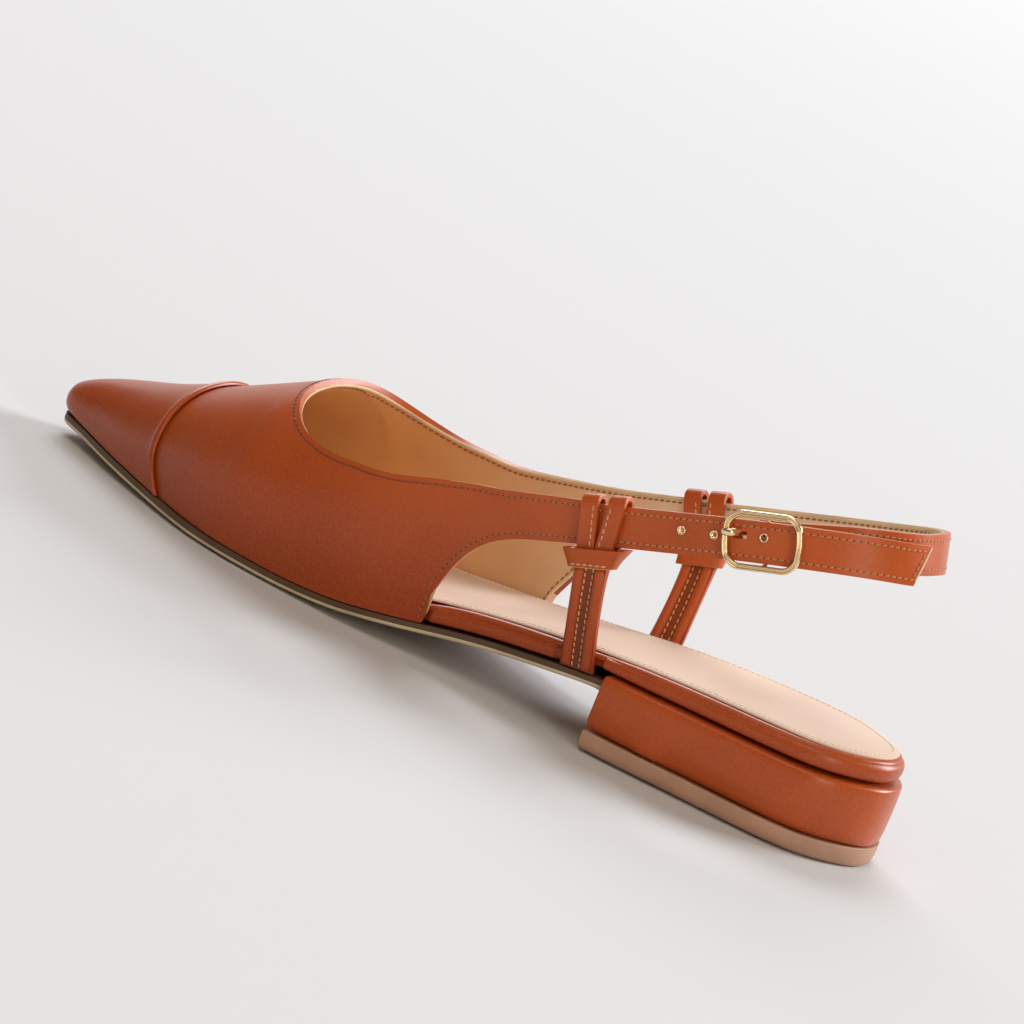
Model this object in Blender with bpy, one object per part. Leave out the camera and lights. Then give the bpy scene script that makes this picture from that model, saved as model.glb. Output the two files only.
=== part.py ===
"""Sling back flat: pointed closed toe, open waist, heel strap with a side buckle.

Metres, Z up. Toe towards -X, heel towards +X, outer (buckle) side towards -Y.
Every curve is a short table whose columns are shares of the sizes named below.
"""

import math

import bmesh
import bpy
import numpy as np
from mathutils import Matrix, Vector

# sole, bed and heel
LENGTH = 0.262
BALL_WIDTH = 0.0741
TIP_SIDE = 0.0035
TOE_SPRING = 0.0032
HEEL_HEIGHT = 0.0207
SOLE_THICK = 0.0031
SOLE_CHAMFER = 0.0009
BED_STACK = 0.0091
TOE_STACK = 0.0056
BED_ROUND = 0.0020
SOCK_THICK = 0.0008
SOCK_INSET = 0.0023
TOP_PIECE_THICK = 0.0056
HEEL_ROUND = 0.0012
HEEL_FLARE = 0.0013
BREAST_SHARE = 0.7350
SEAT_RISE = 0.0011

# upper
INSTEP_HEIGHT = 0.0490
WALL = 0.0018
UPPER_POWER = 2.2
CAP_THICK = 0.0008
CAP_GAP = 0.00025
CAP_ROLL = 0.0005
GAP = 0.0003

# heel strap, stays and buckle
STRAP_WIDTH = 0.0103
STRAP_THICK = 0.0018
STAY_WIDTH = 0.0099
STAY_THICK = 0.0014
KEEPER_THICK = 0.0009
KEEPER_HEIGHT = 0.0054
BUCKLE_LONG = 0.0212
BUCKLE_TALL = 0.0152
BUCKLE_WIRE = 0.0019
BAR_WIRE = 0.0012
EYE_WALL = 0.00045
EYE_GAP = 0.00015
PRONG_WIRE = 0.0013
EYELET_OUT = 0.00135
EYELET_HOLE = 0.00065
EYELET_STEP = 0.0087

LATERAL = -1.0
MEDIAL = 1.0


class Table:
    """A short table with named columns."""

    def __init__(self, names, *rows):
        data = np.array(rows, float)
        for k, name in enumerate(names.split()):
            setattr(self, name, data[:, k])


# share of LENGTH, then half widths as shares of BALL_WIDTH
OUTLINE = Table(
    "x lateral medial",
    (0.0000, 0.000, 0.000),
    (0.0115, 0.098, 0.100),
    (0.0382, 0.142, 0.155),
    (0.0840, 0.229, 0.240),
    (0.1718, 0.376, 0.378),
    (0.2863, 0.518, 0.482),
    (0.3817, 0.528, 0.473),
    (0.4771, 0.504, 0.400),
    (0.5916, 0.423, 0.247),
    (0.7176, 0.460, 0.223),
    (0.8206, 0.422, 0.285),
    (0.9084, 0.376, 0.302),
    (0.9618, 0.310, 0.209),
    (0.9885, 0.192, 0.116),
    (1.0000, 0.047, -0.047),
)

# share of LENGTH, shares of TOE_SPRING and of HEEL_HEIGHT in the sole's under side
PROFILE = Table(
    "x spring heel",
    (0.000, 1.000, 0.000),
    (0.076, 0.620, 0.000),
    (0.172, 0.220, 0.000),
    (0.270, 0.000, 0.000),
    (0.360, 0.000, 0.000),
    (0.420, 0.000, 0.040),
    (0.496, 0.000, 0.198),
    (0.573, 0.000, 0.406),
    (0.649, 0.000, 0.585),
    (0.718, 0.000, 0.735),
    (0.782, 0.000, 0.815),
    (0.859, 0.000, 0.860),
    (0.935, 0.000, 0.895),
    (1.000, 0.000, 0.918),
)

# share of LENGTH, shares of BED_STACK above TOE_STACK
STACK = Table(
    "x rise",
    (0.00, 0.0),
    (0.10, 0.0),
    (0.25, 0.3),
    (0.40, 0.8),
    (0.50, 1.0),
    (1.00, 1.0),
)

# share of LENGTH, ridge above the sole's under side and the widest level, shares of INSTEP_HEIGHT
RIDGE = Table(
    "x top wide",
    (0.0000, 0.180, 0.55),
    (0.0040, 0.212, 0.42),
    (0.0176, 0.268, 0.36),
    (0.0611, 0.388, 0.32),
    (0.1069, 0.486, 0.33),
    (0.1756, 0.690, 0.33),
    (0.2347, 0.866, 0.31),
    (0.2785, 0.995, 0.29),
    (0.3435, 1.170, 0.28),
    (0.4198, 1.400, 0.28),
    (0.5344, 1.640, 0.42),
    (0.6700, 1.900, 0.50),
    (0.8000, 2.100, 0.55),
)

# share of LENGTH, inset of the upper inside the sole and its swell, shares of BALL_WIDTH
SWELL = Table(
    "x inset lateral medial",
    (0.000, 0.0220, 0.032, 0.032),
    (0.080, 0.0170, 0.012, 0.012),
    (0.172, 0.0160, 0.012, 0.010),
    (0.286, 0.0090, 0.020, 0.014),
    (0.382, 0.0040, 0.026, 0.020),
    (0.477, 0.0027, 0.046, 0.046),
    (0.534, 0.0027, 0.072, 0.090),
    (0.592, 0.0027, 0.122, 0.148),
    (0.672, 0.0027, 0.138, 0.172),
    (0.718, 0.0027, 0.122, 0.168),
)

# outer side: lower and upper edge from the throat to the heel strap,
# shares of LENGTH and heights above the sole's under side as shares of INSTEP_HEIGHT
EDGE_OUT = Table(
    "xb zb xt zt",
    (0.2785, 0.000, 0.2785, 0.995),
    (0.2870, 0.000, 0.2840, 0.960),
    (0.2990, 0.000, 0.2960, 0.905),
    (0.3180, 0.000, 0.3170, 0.840),
    (0.3450, 0.000, 0.3450, 0.795),
    (0.3800, 0.000, 0.3820, 0.785),
    (0.4200, 0.000, 0.4220, 0.800),
    (0.4600, 0.000, 0.4640, 0.822),
    (0.4950, 0.000, 0.5000, 0.855),
    (0.5180, 0.000, 0.5240, 0.868),
    (0.5300, 0.000, 0.5400, 0.876),
    (0.5308, 0.210, 0.5500, 0.878),
    (0.5360, 0.300, 0.5620, 0.882),
    (0.5460, 0.430, 0.5740, 0.890),
    (0.5610, 0.540, 0.5870, 0.900),
    (0.5850, 0.625, 0.6050, 0.914),
    (0.6110, 0.668, 0.6240, 0.930),
    (0.6420, 0.700, 0.6440, 0.948),
    (0.6720, 0.735, 0.6690, 0.965),
)

# inner side, same columns
EDGE_IN = Table(
    "xb zb xt zt",
    (0.2785, 0.000, 0.2785, 0.995),
    (0.2870, 0.000, 0.2850, 0.980),
    (0.2990, 0.000, 0.2960, 0.950),
    (0.3180, 0.000, 0.3160, 0.905),
    (0.3450, 0.000, 0.3450, 0.868),
    (0.3800, 0.000, 0.3800, 0.848),
    (0.4200, 0.000, 0.4220, 0.838),
    (0.4600, 0.000, 0.4640, 0.840),
    (0.5000, 0.000, 0.5020, 0.855),
    (0.5260, 0.000, 0.5260, 0.862),
    (0.5430, 0.000, 0.5420, 0.868),
    (0.5438, 0.210, 0.5500, 0.872),
    (0.5495, 0.280, 0.5630, 0.876),
    (0.5590, 0.400, 0.5760, 0.884),
    (0.5720, 0.510, 0.5890, 0.894),
    (0.5920, 0.600, 0.6050, 0.908),
    (0.6160, 0.655, 0.6240, 0.924),
    (0.6440, 0.692, 0.6440, 0.942),
    (0.6720, 0.735, 0.6690, 0.962),
)

# middle line of the outer strap end's outer face: share of LENGTH, share of BALL_WIDTH from the
# toe's middle line, height above the sole's under side as a share of INSTEP_HEIGHT, lean outwards
BILLET = Table(
    "x aside above lean",
    (0.6300, -0.5602, 0.8057, 0.07),
    (0.6850, -0.5762, 0.8562, 0.06),
    (0.7140, -0.5762, 0.8900, 0.02),
    (0.7480, -0.5732, 0.9340, 0.00),
    (0.7844, -0.5672, 0.9874, 0.00),
    (0.8302, -0.5502, 1.0598, 0.00),
    (0.8779, -0.5142, 1.1309, -0.05),
    (0.9122, -0.4592, 1.1771, -0.10),
    (0.9427, -0.3572, 1.2103, -0.18),
    (0.9603, -0.2492, 1.2220, -0.27),
    (0.9656, -0.1752, 1.2255, -0.29),
)

# the same for the sling, from the inner side round the heel to the buckle
SLING = Table(
    "x aside above lean",
    (0.6300, 0.3760, 0.8057, 0.09),
    (0.6850, 0.3725, 0.8562, 0.08),
    (0.7000, 0.3718, 0.8723, 0.06),
    (0.7584, 0.3658, 0.9452, 0.02),
    (0.8206, 0.3518, 1.0411, 0.00),
    (0.8664, 0.3248, 1.1167, -0.05),
    (0.9084, 0.2658, 1.1901, -0.15),
    (0.9385, 0.1488, 1.2361, -0.24),
    (0.9530, 0.0068, 1.2605, -0.30),
    (0.9550, -0.1012, 1.2629, -0.31),
    (0.9505, -0.2022, 1.2556, -0.29),
    (0.9320, -0.3322, 1.2372, -0.18),
    (0.9040, -0.4152, 1.1941, -0.08),
    (0.8760, -0.4552, 1.1409, -0.04),
    (0.8500, -0.4702, 1.0957, 0.00),
    (0.8290, -0.4742, 1.0600, 0.00),
)


def slopes(xs, ys):
    """Monotone slopes of a piecewise cubic."""
    h = np.diff(xs)
    d = np.diff(ys) / h
    m = np.zeros(len(xs))
    for k in range(1, len(xs) - 1):
        if d[k - 1] * d[k] > 0.0:
            a = 2.0 * h[k] + h[k - 1]
            b = h[k] + 2.0 * h[k - 1]
            m[k] = (a + b) / (a / d[k - 1] + b / d[k])
    m[0] = d[0]
    m[-1] = d[-1]
    return m


def soft(xs, ys, x):
    """Monotone cubic through a table's rows, flat outside them."""
    x = np.clip(np.asarray(x, float), xs[0], xs[-1])
    k = np.clip(np.searchsorted(xs, x, side="right") - 1, 0, len(xs) - 2)
    m = slopes(xs, ys)
    h = xs[k + 1] - xs[k]
    s = (x - xs[k]) / h
    a = ys[k] * (1.0 + 2.0 * s) * (1.0 - s) ** 2 + m[k] * h * s * (1.0 - s) ** 2
    return a + ys[k + 1] * s * s * (3.0 - 2.0 * s) + m[k + 1] * h * s * s * (s - 1.0)


def fair(xs, ys, x):
    """Natural cubic spline through a table's rows."""
    n = len(xs)
    h = np.diff(xs)
    a = np.eye(n)
    b = np.zeros(n)
    for k in range(1, n - 1):
        a[k, k - 1] = h[k - 1]
        a[k, k] = 2.0 * (h[k - 1] + h[k])
        a[k, k + 1] = h[k]
        b[k] = 6.0 * ((ys[k + 1] - ys[k]) / h[k] - (ys[k] - ys[k - 1]) / h[k - 1])
    m = np.linalg.solve(a, b)
    x = np.clip(np.asarray(x, float), xs[0], xs[-1])
    k = np.clip(np.searchsorted(xs, x, side="right") - 1, 0, n - 2)
    u = xs[k + 1] - x
    v = x - xs[k]
    c = m[k] * u ** 3 / (6.0 * h[k]) + m[k + 1] * v ** 3 / (6.0 * h[k])
    c = c + (ys[k] / h[k] - m[k] * h[k] / 6.0) * u
    return c + (ys[k + 1] / h[k] - m[k + 1] * h[k] / 6.0) * v


def turn_of(share):
    """Angle of a station whose distance from the toe is this share of LENGTH."""
    return np.arccos(1.0 - 2.0 * np.clip(share, 0.0, 1.0))


def share_of(turn):
    return (1.0 - np.cos(turn)) / 2.0


def outline_y(side, turn):
    column = OUTLINE.lateral if side < 0 else OUTLINE.medial
    half = fair(turn_of(OUTLINE.x), column * BALL_WIDTH, turn)
    return TIP_SIDE + side * half


def plan(side, turn, inset):
    """Sole outline in plan, moved inwards by inset."""
    turn = np.asarray(turn, float)
    step = 0.004
    a = np.clip(turn - step, 0.0, math.pi)
    b = np.clip(turn + step, 0.0, math.pi)
    dx = (share_of(b) - share_of(a)) * LENGTH
    dy = outline_y(side, b) - outline_y(side, a)
    size = np.hypot(dx, dy)
    nx = -side * dy / size
    ny = side * dx / size
    edge = (turn < 1e-6) | (turn > math.pi - 1e-6)
    nx = np.where(edge, np.sign(turn - 1.0), nx)
    ny = np.where(edge, 0.0, ny)
    x = share_of(turn) * LENGTH - inset * nx
    return x, outline_y(side, turn) - inset * ny


def under(share):
    """Height of the sole's under side."""
    spring = soft(PROFILE.x, PROFILE.spring, share) * TOE_SPRING
    return spring + soft(PROFILE.x, PROFILE.heel, share) * HEEL_HEIGHT


def seat(share):
    """Height of the heel block's top."""
    back = np.clip((share - BREAST_SHARE) / (1.0 - BREAST_SHARE), 0.0, 1.0)
    return HEEL_HEIGHT + SEAT_RISE * back


def bed_top(share):
    rise = soft(STACK.x, STACK.rise, share)
    return under(share) + TOE_STACK + (BED_STACK - TOE_STACK) * rise


def bed_bottom(share):
    low = under(share) + SOLE_THICK + GAP
    blend = np.clip((share - BREAST_SHARE + 0.04) / 0.03, 0.0, 1.0)
    return low * (1.0 - blend) + np.maximum(seat(share) + GAP, low) * blend


def feather(share):
    return under(share) + SOLE_THICK + GAP


def ridge(share):
    return under(share) + soft(RIDGE.x, RIDGE.top, share) * INSTEP_HEIGHT


def level(share):
    """Height where the upper is widest."""
    low = feather(share)
    return low + (ridge(share) - low) * soft(RIDGE.x, RIDGE.wide, share)


LOW_ROWS = 0.34


def height_of(share, rise):
    """Height at a rise of 0 at the sole to 1 at the ridge."""
    low = feather(share)
    mid = level(share)
    top = ridge(share)
    a = low + (mid - low) * rise / LOW_ROWS
    swing = np.clip((rise - LOW_ROWS) / (1.0 - LOW_ROWS), 0.0, 1.0) * math.pi / 2.0
    b = mid + (top - mid) * np.sin(swing) ** (2.0 / UPPER_POWER)
    return np.where(rise < LOW_ROWS, a, b)


def rise_of(share, height):
    low = feather(share)
    mid = level(share)
    top = ridge(share)
    a = LOW_ROWS * (height - low) / (mid - low)
    part = np.clip((height - mid) / (top - mid), 0.0, 1.0) ** (UPPER_POWER / 2.0)
    b = LOW_ROWS + (1.0 - LOW_ROWS) * np.arcsin(part) / (math.pi / 2.0)
    return np.where(height < mid, a, b)


def skin(side, turn, rise):
    """Outer face of the vamp at a station and a rise."""
    turn = np.asarray(turn, float)
    rise = np.asarray(rise, float)
    share = share_of(turn)
    inset = soft(SWELL.x, SWELL.inset, share) * BALL_WIDTH
    swell = soft(SWELL.x, SWELL.lateral if side < 0 else SWELL.medial, share) * BALL_WIDTH
    x, y = plan(side, turn, inset)
    out_x, out_y = plan(side, turn, inset - swell)
    toe = np.clip(1.0 - share / 0.15, 0.0, 1.0)
    wide = lerp(y + side * swell, out_y, toe)
    height = height_of(share, rise)
    low = feather(share)
    mid = level(share)
    top = ridge(share)
    q = np.clip((height - low) / (mid - low), 0.0, 1.0)
    t = np.clip((height - mid) / (top - mid), 0.0, 1.0)
    grow = np.sin(q * math.pi / 2.0)
    x = x + (out_x - x) * toe * grow
    lower = y + (wide - y) * grow
    swing = np.clip((rise - LOW_ROWS) / (1.0 - LOW_ROWS), 0.0, 1.0) * math.pi / 2.0
    upper = TIP_SIDE + (wide - TIP_SIDE) * np.cos(swing) ** (2.0 / UPPER_POWER)
    y = np.where(rise < LOW_ROWS, lower, upper)
    return np.stack(np.broadcast_arrays(x, y, height), -1)


def skin_normal(side, turn, rise):
    """Outward normal of the vamp's outer face."""
    d = 0.003
    ta = np.clip(turn - d, 0.0, math.pi)
    tb = np.clip(turn + d, 0.0, math.pi)
    ra = np.clip(rise - d, 0.0, 1.0)
    rb = np.clip(rise + d, 0.0, 1.0)
    along = skin(side, tb, rise) - skin(side, ta, rise)
    rising = skin(side, turn, rb) - skin(side, turn, ra)
    n = np.cross(along, rising) * -side
    return n / np.linalg.norm(n, axis=-1, keepdims=True)


def outward(side, turn, rise):
    """Normals of a column; the nose column points straight ahead and up."""
    n = skin_normal(side, np.maximum(turn, 0.06), rise)
    if np.max(turn) < 1e-6:
        n = n * (1.0, 0.0, 1.0)
    return n / np.linalg.norm(n, axis=-1, keepdims=True)


def material(name, colour, rough, metal=0.0):
    m = bpy.data.materials.new(name)
    m.use_nodes = True
    shader = m.node_tree.nodes["Principled BSDF"]
    shader.inputs["Base Color"].default_value = (*colour, 1.0)
    shader.inputs["Roughness"].default_value = rough
    shader.inputs["Metallic"].default_value = metal
    m.diffuse_color = (*colour, 1.0)
    return m


LEATHER = (0.42, 0.115, 0.035)
GOLD = (0.83, 0.66, 0.36)


def add(name, verts, faces, colour, rough=0.45, metal=0.0):
    """One closed body from points and faces, facing out."""
    mesh = bpy.data.meshes.new(name)
    bm = bmesh.new()
    made = [bm.verts.new(Vector(p)) for p in verts]
    for face in faces:
        loop = []
        for k in face:
            if not loop or made[k] is not loop[-1]:
                loop.append(made[k])
        bm.faces.new(loop)
    bmesh.ops.remove_doubles(bm, verts=bm.verts[:], dist=1e-6)
    bmesh.ops.recalc_face_normals(bm, faces=bm.faces[:])
    bm.to_mesh(mesh)
    bm.free()
    ob = bpy.data.objects.new(name, mesh)
    bpy.context.scene.collection.objects.link(ob)
    mesh.materials.append(material(name, colour, rough, metal))
    return ob


def ring_outline(turns, inset_of, first, last):
    """Closed plan loop: outer side from toe to heel, inner side back again."""
    ts = turns[(turns >= first - 1e-9) & (turns <= last + 1e-9)]
    ax, ay = plan(LATERAL, ts, inset_of(LATERAL, share_of(ts)))
    bx, by = plan(MEDIAL, ts, inset_of(MEDIAL, share_of(ts)))
    return ts, np.stack([ax, ay], -1), np.stack([bx, by], -1)


def plate(name, turns, layers, colour, rough):
    """Stack of plan loops; each layer is (inset function, height function).

    The loops share a vertex at the toe or the heel where the outline closes.
    """
    verts = []
    rings = []
    closed_front = turns[0] < 1e-6
    closed_back = turns[-1] > math.pi - 1e-6
    n = len(turns)
    for inset_of, height_of_layer in layers:
        _, a, b = ring_outline(turns, inset_of, turns[0], turns[-1])
        za = height_of_layer(a[:, 0] / LENGTH)
        zb = height_of_layer(b[:, 0] / LENGTH)
        ids_a = []
        ids_b = []
        for k in range(n):
            ids_a.append(len(verts))
            verts.append((a[k, 0], a[k, 1], za[k]))
        for k in range(n):
            if (k == 0 and closed_front) or (k == n - 1 and closed_back):
                ids_b.append(ids_a[k])
                continue
            ids_b.append(len(verts))
            verts.append((b[k, 0], b[k, 1], zb[k]))
        rings.append((ids_a, ids_b))
    faces = []
    for lower, upper in zip(rings[:-1], rings[1:]):
        for part in (0, 1):
            for k in range(n - 1):
                faces.append((lower[part][k], lower[part][k + 1], upper[part][k + 1], upper[part][k]))
        if not closed_front:
            faces.append((lower[0][0], lower[1][0], upper[1][0], upper[0][0]))
        if not closed_back:
            faces.append((lower[0][-1], lower[1][-1], upper[1][-1], upper[0][-1]))
    for ids_a, ids_b in (rings[0], rings[-1]):
        for k in range(n - 1):
            loop = []
            for v in (ids_a[k], ids_a[k + 1], ids_b[k + 1], ids_b[k]):
                if v not in loop:
                    loop.append(v)
            faces.append(tuple(loop))
    return add(name, verts, faces, colour, rough)


def stations(count, first, last, extra=()):
    """Turns from first to last share, evenly spread, with extra shares put in."""
    ends = [float(turn_of(first)), float(turn_of(last))]
    added = [float(turn_of(share)) for share in extra]
    kept = ends + added
    for t in np.linspace(ends[0], ends[1], count)[1:-1]:
        if min(abs(t - q) for q in kept) > 0.012:
            added.append(float(t))
    return np.array(sorted(ends + added))


def flat_inset(value):
    return lambda side, share: value + 0.0 * share


def shifted(function, offset):
    return lambda share: function(share) + offset


class Path:
    """Middle line of a strap's outer face, with its own directions."""

    def __init__(self, table, side):
        self.table = table
        self.side = side
        across = TIP_SIDE + table.aside * BALL_WIDTH
        height = under(table.x) + table.above * INSTEP_HEIGHT
        self.knots = np.stack([table.x * LENGTH, across, height], -1)
        steps = np.linalg.norm(np.diff(self.knots, axis=0), axis=1)
        self.run = np.concatenate([[0.0], np.cumsum(steps)])
        self.total = self.run[-1]

    def point(self, s):
        return np.stack([fair(self.run, self.knots[:, k], s) for k in range(3)], -1)

    def frame(self, s):
        """Point, forward, out and up at a distance along the path."""
        d = 0.0004
        a = np.clip(s - d, 0.0, self.total)
        b = np.clip(s + d, 0.0, self.total)
        along = self.point(b) - self.point(a)
        along = along / np.linalg.norm(along)
        out = np.cross(along, (0.0, 0.0, 1.0))
        out = out / np.linalg.norm(out) * -self.side
        up = np.cross(out, along)
        up = up * np.sign(up[2])
        lean = float(soft(self.run, self.table.lean, s))
        up = up + lean * out
        up = up / np.linalg.norm(up)
        out = out - up * float(np.dot(out, up))
        return self.point(s), along, out / np.linalg.norm(out), up

    def near(self, x):
        """Distance along the path of a place x on its first stretch."""
        s = np.linspace(0.0, self.total, 800)
        p = self.point(s)
        peak = int(np.argmax(p[:, 0]))
        return float(np.interp(x, p[: peak + 1, 0], s[: peak + 1]))


ROWS = 8


def lerp(a, b, t):
    return a + (b - a) * t


STRAP_FROM = 0.6850
TAIL_SLANT = 0.0052


def vamp_columns(side, edge, count_toe, count_side):
    """Columns of outer points and outward directions, from the toe to the heel strap."""
    rows = np.linspace(0.0, 1.0, ROWS + 1)
    columns = []
    toe = np.concatenate([[0.0, 0.10, 0.19], np.linspace(0.28, 1.0, count_toe - 3)])
    last = float(turn_of(edge.xb[0]))
    for t in toe * last:
        tt = np.full(ROWS + 1, t)
        columns.append((skin(side, tt, rows), outward(side, tt, rows)))
    ridge_count = len(columns)
    index = np.arange(len(edge.xb), dtype=float)
    bottom = under(edge.xb) + edge.zb * INSTEP_HEIGHT
    top = under(edge.xt) + edge.zt * INSTEP_HEIGHT
    rise_b = np.where(edge.zb < 1e-9, 0.0, rise_of(edge.xb, bottom))
    rise_t = rise_of(edge.xt, top)
    rise_t[0] = 1.0
    where = np.concatenate([np.linspace(0.0, 3.0, 6)[1:], np.linspace(3.0, len(index) - 1.0, count_side)[1:]])
    for u in where:
        xb = float(soft(index, edge.xb, u))
        xt = float(soft(index, edge.xt, u))
        rb = float(soft(index, rise_b, u))
        rt = float(soft(index, rise_t, u))
        if xb > edge.xb[11] and rb < rise_b[11]:
            rb = float(rise_b[11])
        if xb < edge.xb[10] + 1e-6:
            rb = 0.0
        tt = lerp(float(turn_of(xb)), float(turn_of(xt)), rows)
        rr = lerp(rb, rt, rows)
        columns.append((skin(side, tt, rr), skin_normal(side, tt, rr)))
    return columns, ridge_count


def strap_columns(path, runs, width, slant=0.0):
    """Columns across a strap at distances along its path; slant cuts the far end."""
    rows = np.linspace(-0.5, 0.5, ROWS + 1)
    columns = []
    for k, s in enumerate(runs):
        pts = []
        outs = []
        for r in rows:
            shift = slant * (r - 0.5) * max(0.0, (k - len(runs) + 8) / 7.0)
            p, along, out, up = path.frame(s + shift)
            pts.append(p + up * r * width)
            outs.append(out)
        columns.append((np.array(pts), np.array(outs)))
    return columns


def shell(name, sides, ridge_count, wall, colour, rough, inner_of=None):
    """One hollow solid from columns of outer points on two sides that share a ridge."""
    verts = []
    faces = []
    lower = []
    index = {}

    def place(key, outer, inner):
        if key not in index:
            index[key] = len(lower)
            lower.append((outer, inner))
        return index[key]

    grids = []
    for side_key, columns in sides:
        grid = []
        for i, (pts, outs) in enumerate(columns):
            ids = []
            for j in range(ROWS + 1):
                if i == 0:
                    key = ("nose", j)
                elif j == ROWS and i < ridge_count:
                    key = ("ridge", i)
                else:
                    key = (side_key, i, j)
                outer = pts[j]
                inner = outer - outs[j] * wall
                if j == 0 and i < len(columns) and outs[j][2] != 0.0 and pts[j][2] < feather(1.0) and i in FEATHER[side_key]:
                    flat = np.array([outs[j][0], outs[j][1], 0.0])
                    inner = outer - flat / np.linalg.norm(flat) * wall
                ids.append(place(key, outer, inner))
            grid.append(ids)
        grids.append(grid)
    n = len(lower)
    verts = [p for p, _ in lower] + [q for _, q in lower]
    edges = {}
    for grid in grids:
        for i in range(len(grid) - 1):
            for j in range(ROWS):
                loop = (grid[i][j], grid[i + 1][j], grid[i + 1][j + 1], grid[i][j + 1])
                faces.append(loop)
                faces.append(tuple(v + n for v in reversed(loop)))
                for a, b in zip(loop, loop[1:] + loop[:1]):
                    if a != b:
                        key = (min(a, b), max(a, b))
                        edges[key] = edges.get(key, 0) + 1
    for (a, b), count in edges.items():
        if count == 1:
            faces.append((a, b, b + n, a + n))
    return add(name, verts, faces, colour, rough)


FEATHER = {"out": set(), "in": set()}


def make_upper():
    sides = []
    ridge_count = 0
    for key, side, edge in (("out", LATERAL, EDGE_OUT), ("in", MEDIAL, EDGE_IN)):
        columns, ridge_count = vamp_columns(side, edge, 15, 30)
        for i, (pts, _) in enumerate(columns):
            share = pts[0][0] / LENGTH
            if abs(pts[0][2] - float(feather(share))) < 0.0006:
                FEATHER[key].add(i)
        if side < 0:
            path = Path(BILLET, side)
            runs = np.linspace(path.near(STRAP_FROM * LENGTH), path.total, 20)
            columns += strap_columns(path, runs, STRAP_WIDTH, TAIL_SLANT)
        else:
            path = Path(SLING, side)
            runs = np.linspace(path.near(STRAP_FROM * LENGTH), path.total, 34)
            columns += strap_columns(path, runs, STRAP_WIDTH)
        sides.append((key, columns))
    return shell("upper", sides, ridge_count, WALL, LEATHER, 0.42)


def make_sole():
    turns = stations(44, 0.0, BREAST_SHARE - GAP / LENGTH, (0.27, 0.36, 0.53))
    layers = (
        (flat_inset(SOLE_CHAMFER), under),
        (flat_inset(0.0), shifted(under, SOLE_CHAMFER)),
        (flat_inset(0.0), shifted(under, SOLE_THICK)),
    )
    return plate("outsole", turns, layers, (0.52, 0.42, 0.31), 0.6)


def make_heel():
    turns = stations(26, BREAST_SHARE, 1.0)
    side = -HEEL_FLARE
    layers = (
        (flat_inset(side + 0.0006), lambda s: TOP_PIECE_THICK + 0.0001 + 0.0 * s),
        (flat_inset(side), lambda s: TOP_PIECE_THICK + 0.0007 + 0.0 * s),
        (flat_inset(side), shifted(seat, -HEEL_ROUND)),
        (flat_inset(side + 0.3 * HEEL_ROUND), shifted(seat, -0.3 * HEEL_ROUND)),
        (flat_inset(side + HEEL_ROUND), seat),
    )
    plate("heel_block", turns, layers, LEATHER, 0.42)
    turns = stations(24, BREAST_SHARE, 1.0)
    layers = (
        (flat_inset(side + 0.0010), lambda s: 0.0 * s),
        (flat_inset(side), lambda s: 0.0010 + 0.0 * s),
        (flat_inset(side), lambda s: TOP_PIECE_THICK - 0.0001 + 0.0 * s),
    )
    plate("heel_top_piece", turns, layers, (0.62, 0.42, 0.30), 0.6)


RIM_INSET = 0.0002
VAMP_REAR = {LATERAL: 0.5300, MEDIAL: 0.5430}
STAY_SHARE = {LATERAL: 0.7000, MEDIAL: 0.6900}


def bed_inset(side, share):
    """Inset of the bed: inside the upper, at the stays, and free between them."""
    wall = soft(SWELL.x, SWELL.inset, share) * BALL_WIDTH + WALL + GAP
    free = RIM_INSET + 0.0 * share
    half = (STAY_WIDTH / 2.0 + 0.0018) / LENGTH
    centre = STAY_SHARE[side] - 0.0018
    notch = 0.0002 + STAY_THICK + GAP
    ramp = 0.0022
    inside = np.clip((VAMP_REAR[side] + ramp * 1.8 - share) / ramp, 0.0, 1.0)
    near = np.clip((half + ramp - np.abs(share - centre)) / ramp, 0.0, 1.0)
    out = free + (wall - free) * inside
    return out + (notch - free) * near * (1.0 - inside)


def grown(extra):
    return lambda side, share: bed_inset(side, share) + extra


def bed_level(part):
    """Heights through the bed: 0 is its under side, 1 its top."""
    return lambda s: lerp(bed_bottom(s), bed_top(s), part)


def make_bed():
    half = (STAY_WIDTH / 2.0 + 0.0018) / LENGTH
    extra = []
    for side in (LATERAL, MEDIAL):
        extra += [BREAST_SHARE - 0.01, BREAST_SHARE, VAMP_REAR[side] + 0.0017, VAMP_REAR[side] + 0.0040]
        centre = STAY_SHARE[side] - 0.0018
        extra += [centre - half - 0.0022, centre - half, centre + half, centre + half + 0.0022]
    turns = stations(52, 0.0, 1.0, extra)
    layers = (
        (grown(0.0011), bed_level(0.0)),
        (grown(0.0003), bed_level(0.16)),
        (grown(0.0), bed_level(0.36)),
        (grown(0.0), bed_level(0.62)),
        (grown(0.0006), bed_level(0.86)),
        (grown(BED_ROUND), bed_level(1.0)),
    )
    plate("footbed", turns, layers, LEATHER, 0.42)
    turns = stations(40, 0.0, 1.0)
    low = 0.0002
    layers = (
        (sock_inset, shifted(bed_top, low)),
        (sock_inset, shifted(bed_top, low + 0.6 * SOCK_THICK)),
        (lambda side, share: sock_inset(side, share) + 0.0004, shifted(bed_top, low + SOCK_THICK)),
    )
    plate("insole_sock", turns, layers, (0.72, 0.56, 0.44), 0.7)


def sock_inset(side, share):
    """The sock keeps clear of the rim and of the upper's wall."""
    wall = soft(SWELL.x, SWELL.inset, share) * BALL_WIDTH + WALL + GAP
    inside = np.clip((VAMP_REAR[side] + 0.06 - share) / 0.06, 0.0, 1.0)
    inside = inside * inside * (3.0 - 2.0 * inside)
    free = RIM_INSET + SOCK_INSET
    return free + (np.maximum(wall + 0.0010, free) - free) * inside


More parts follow.
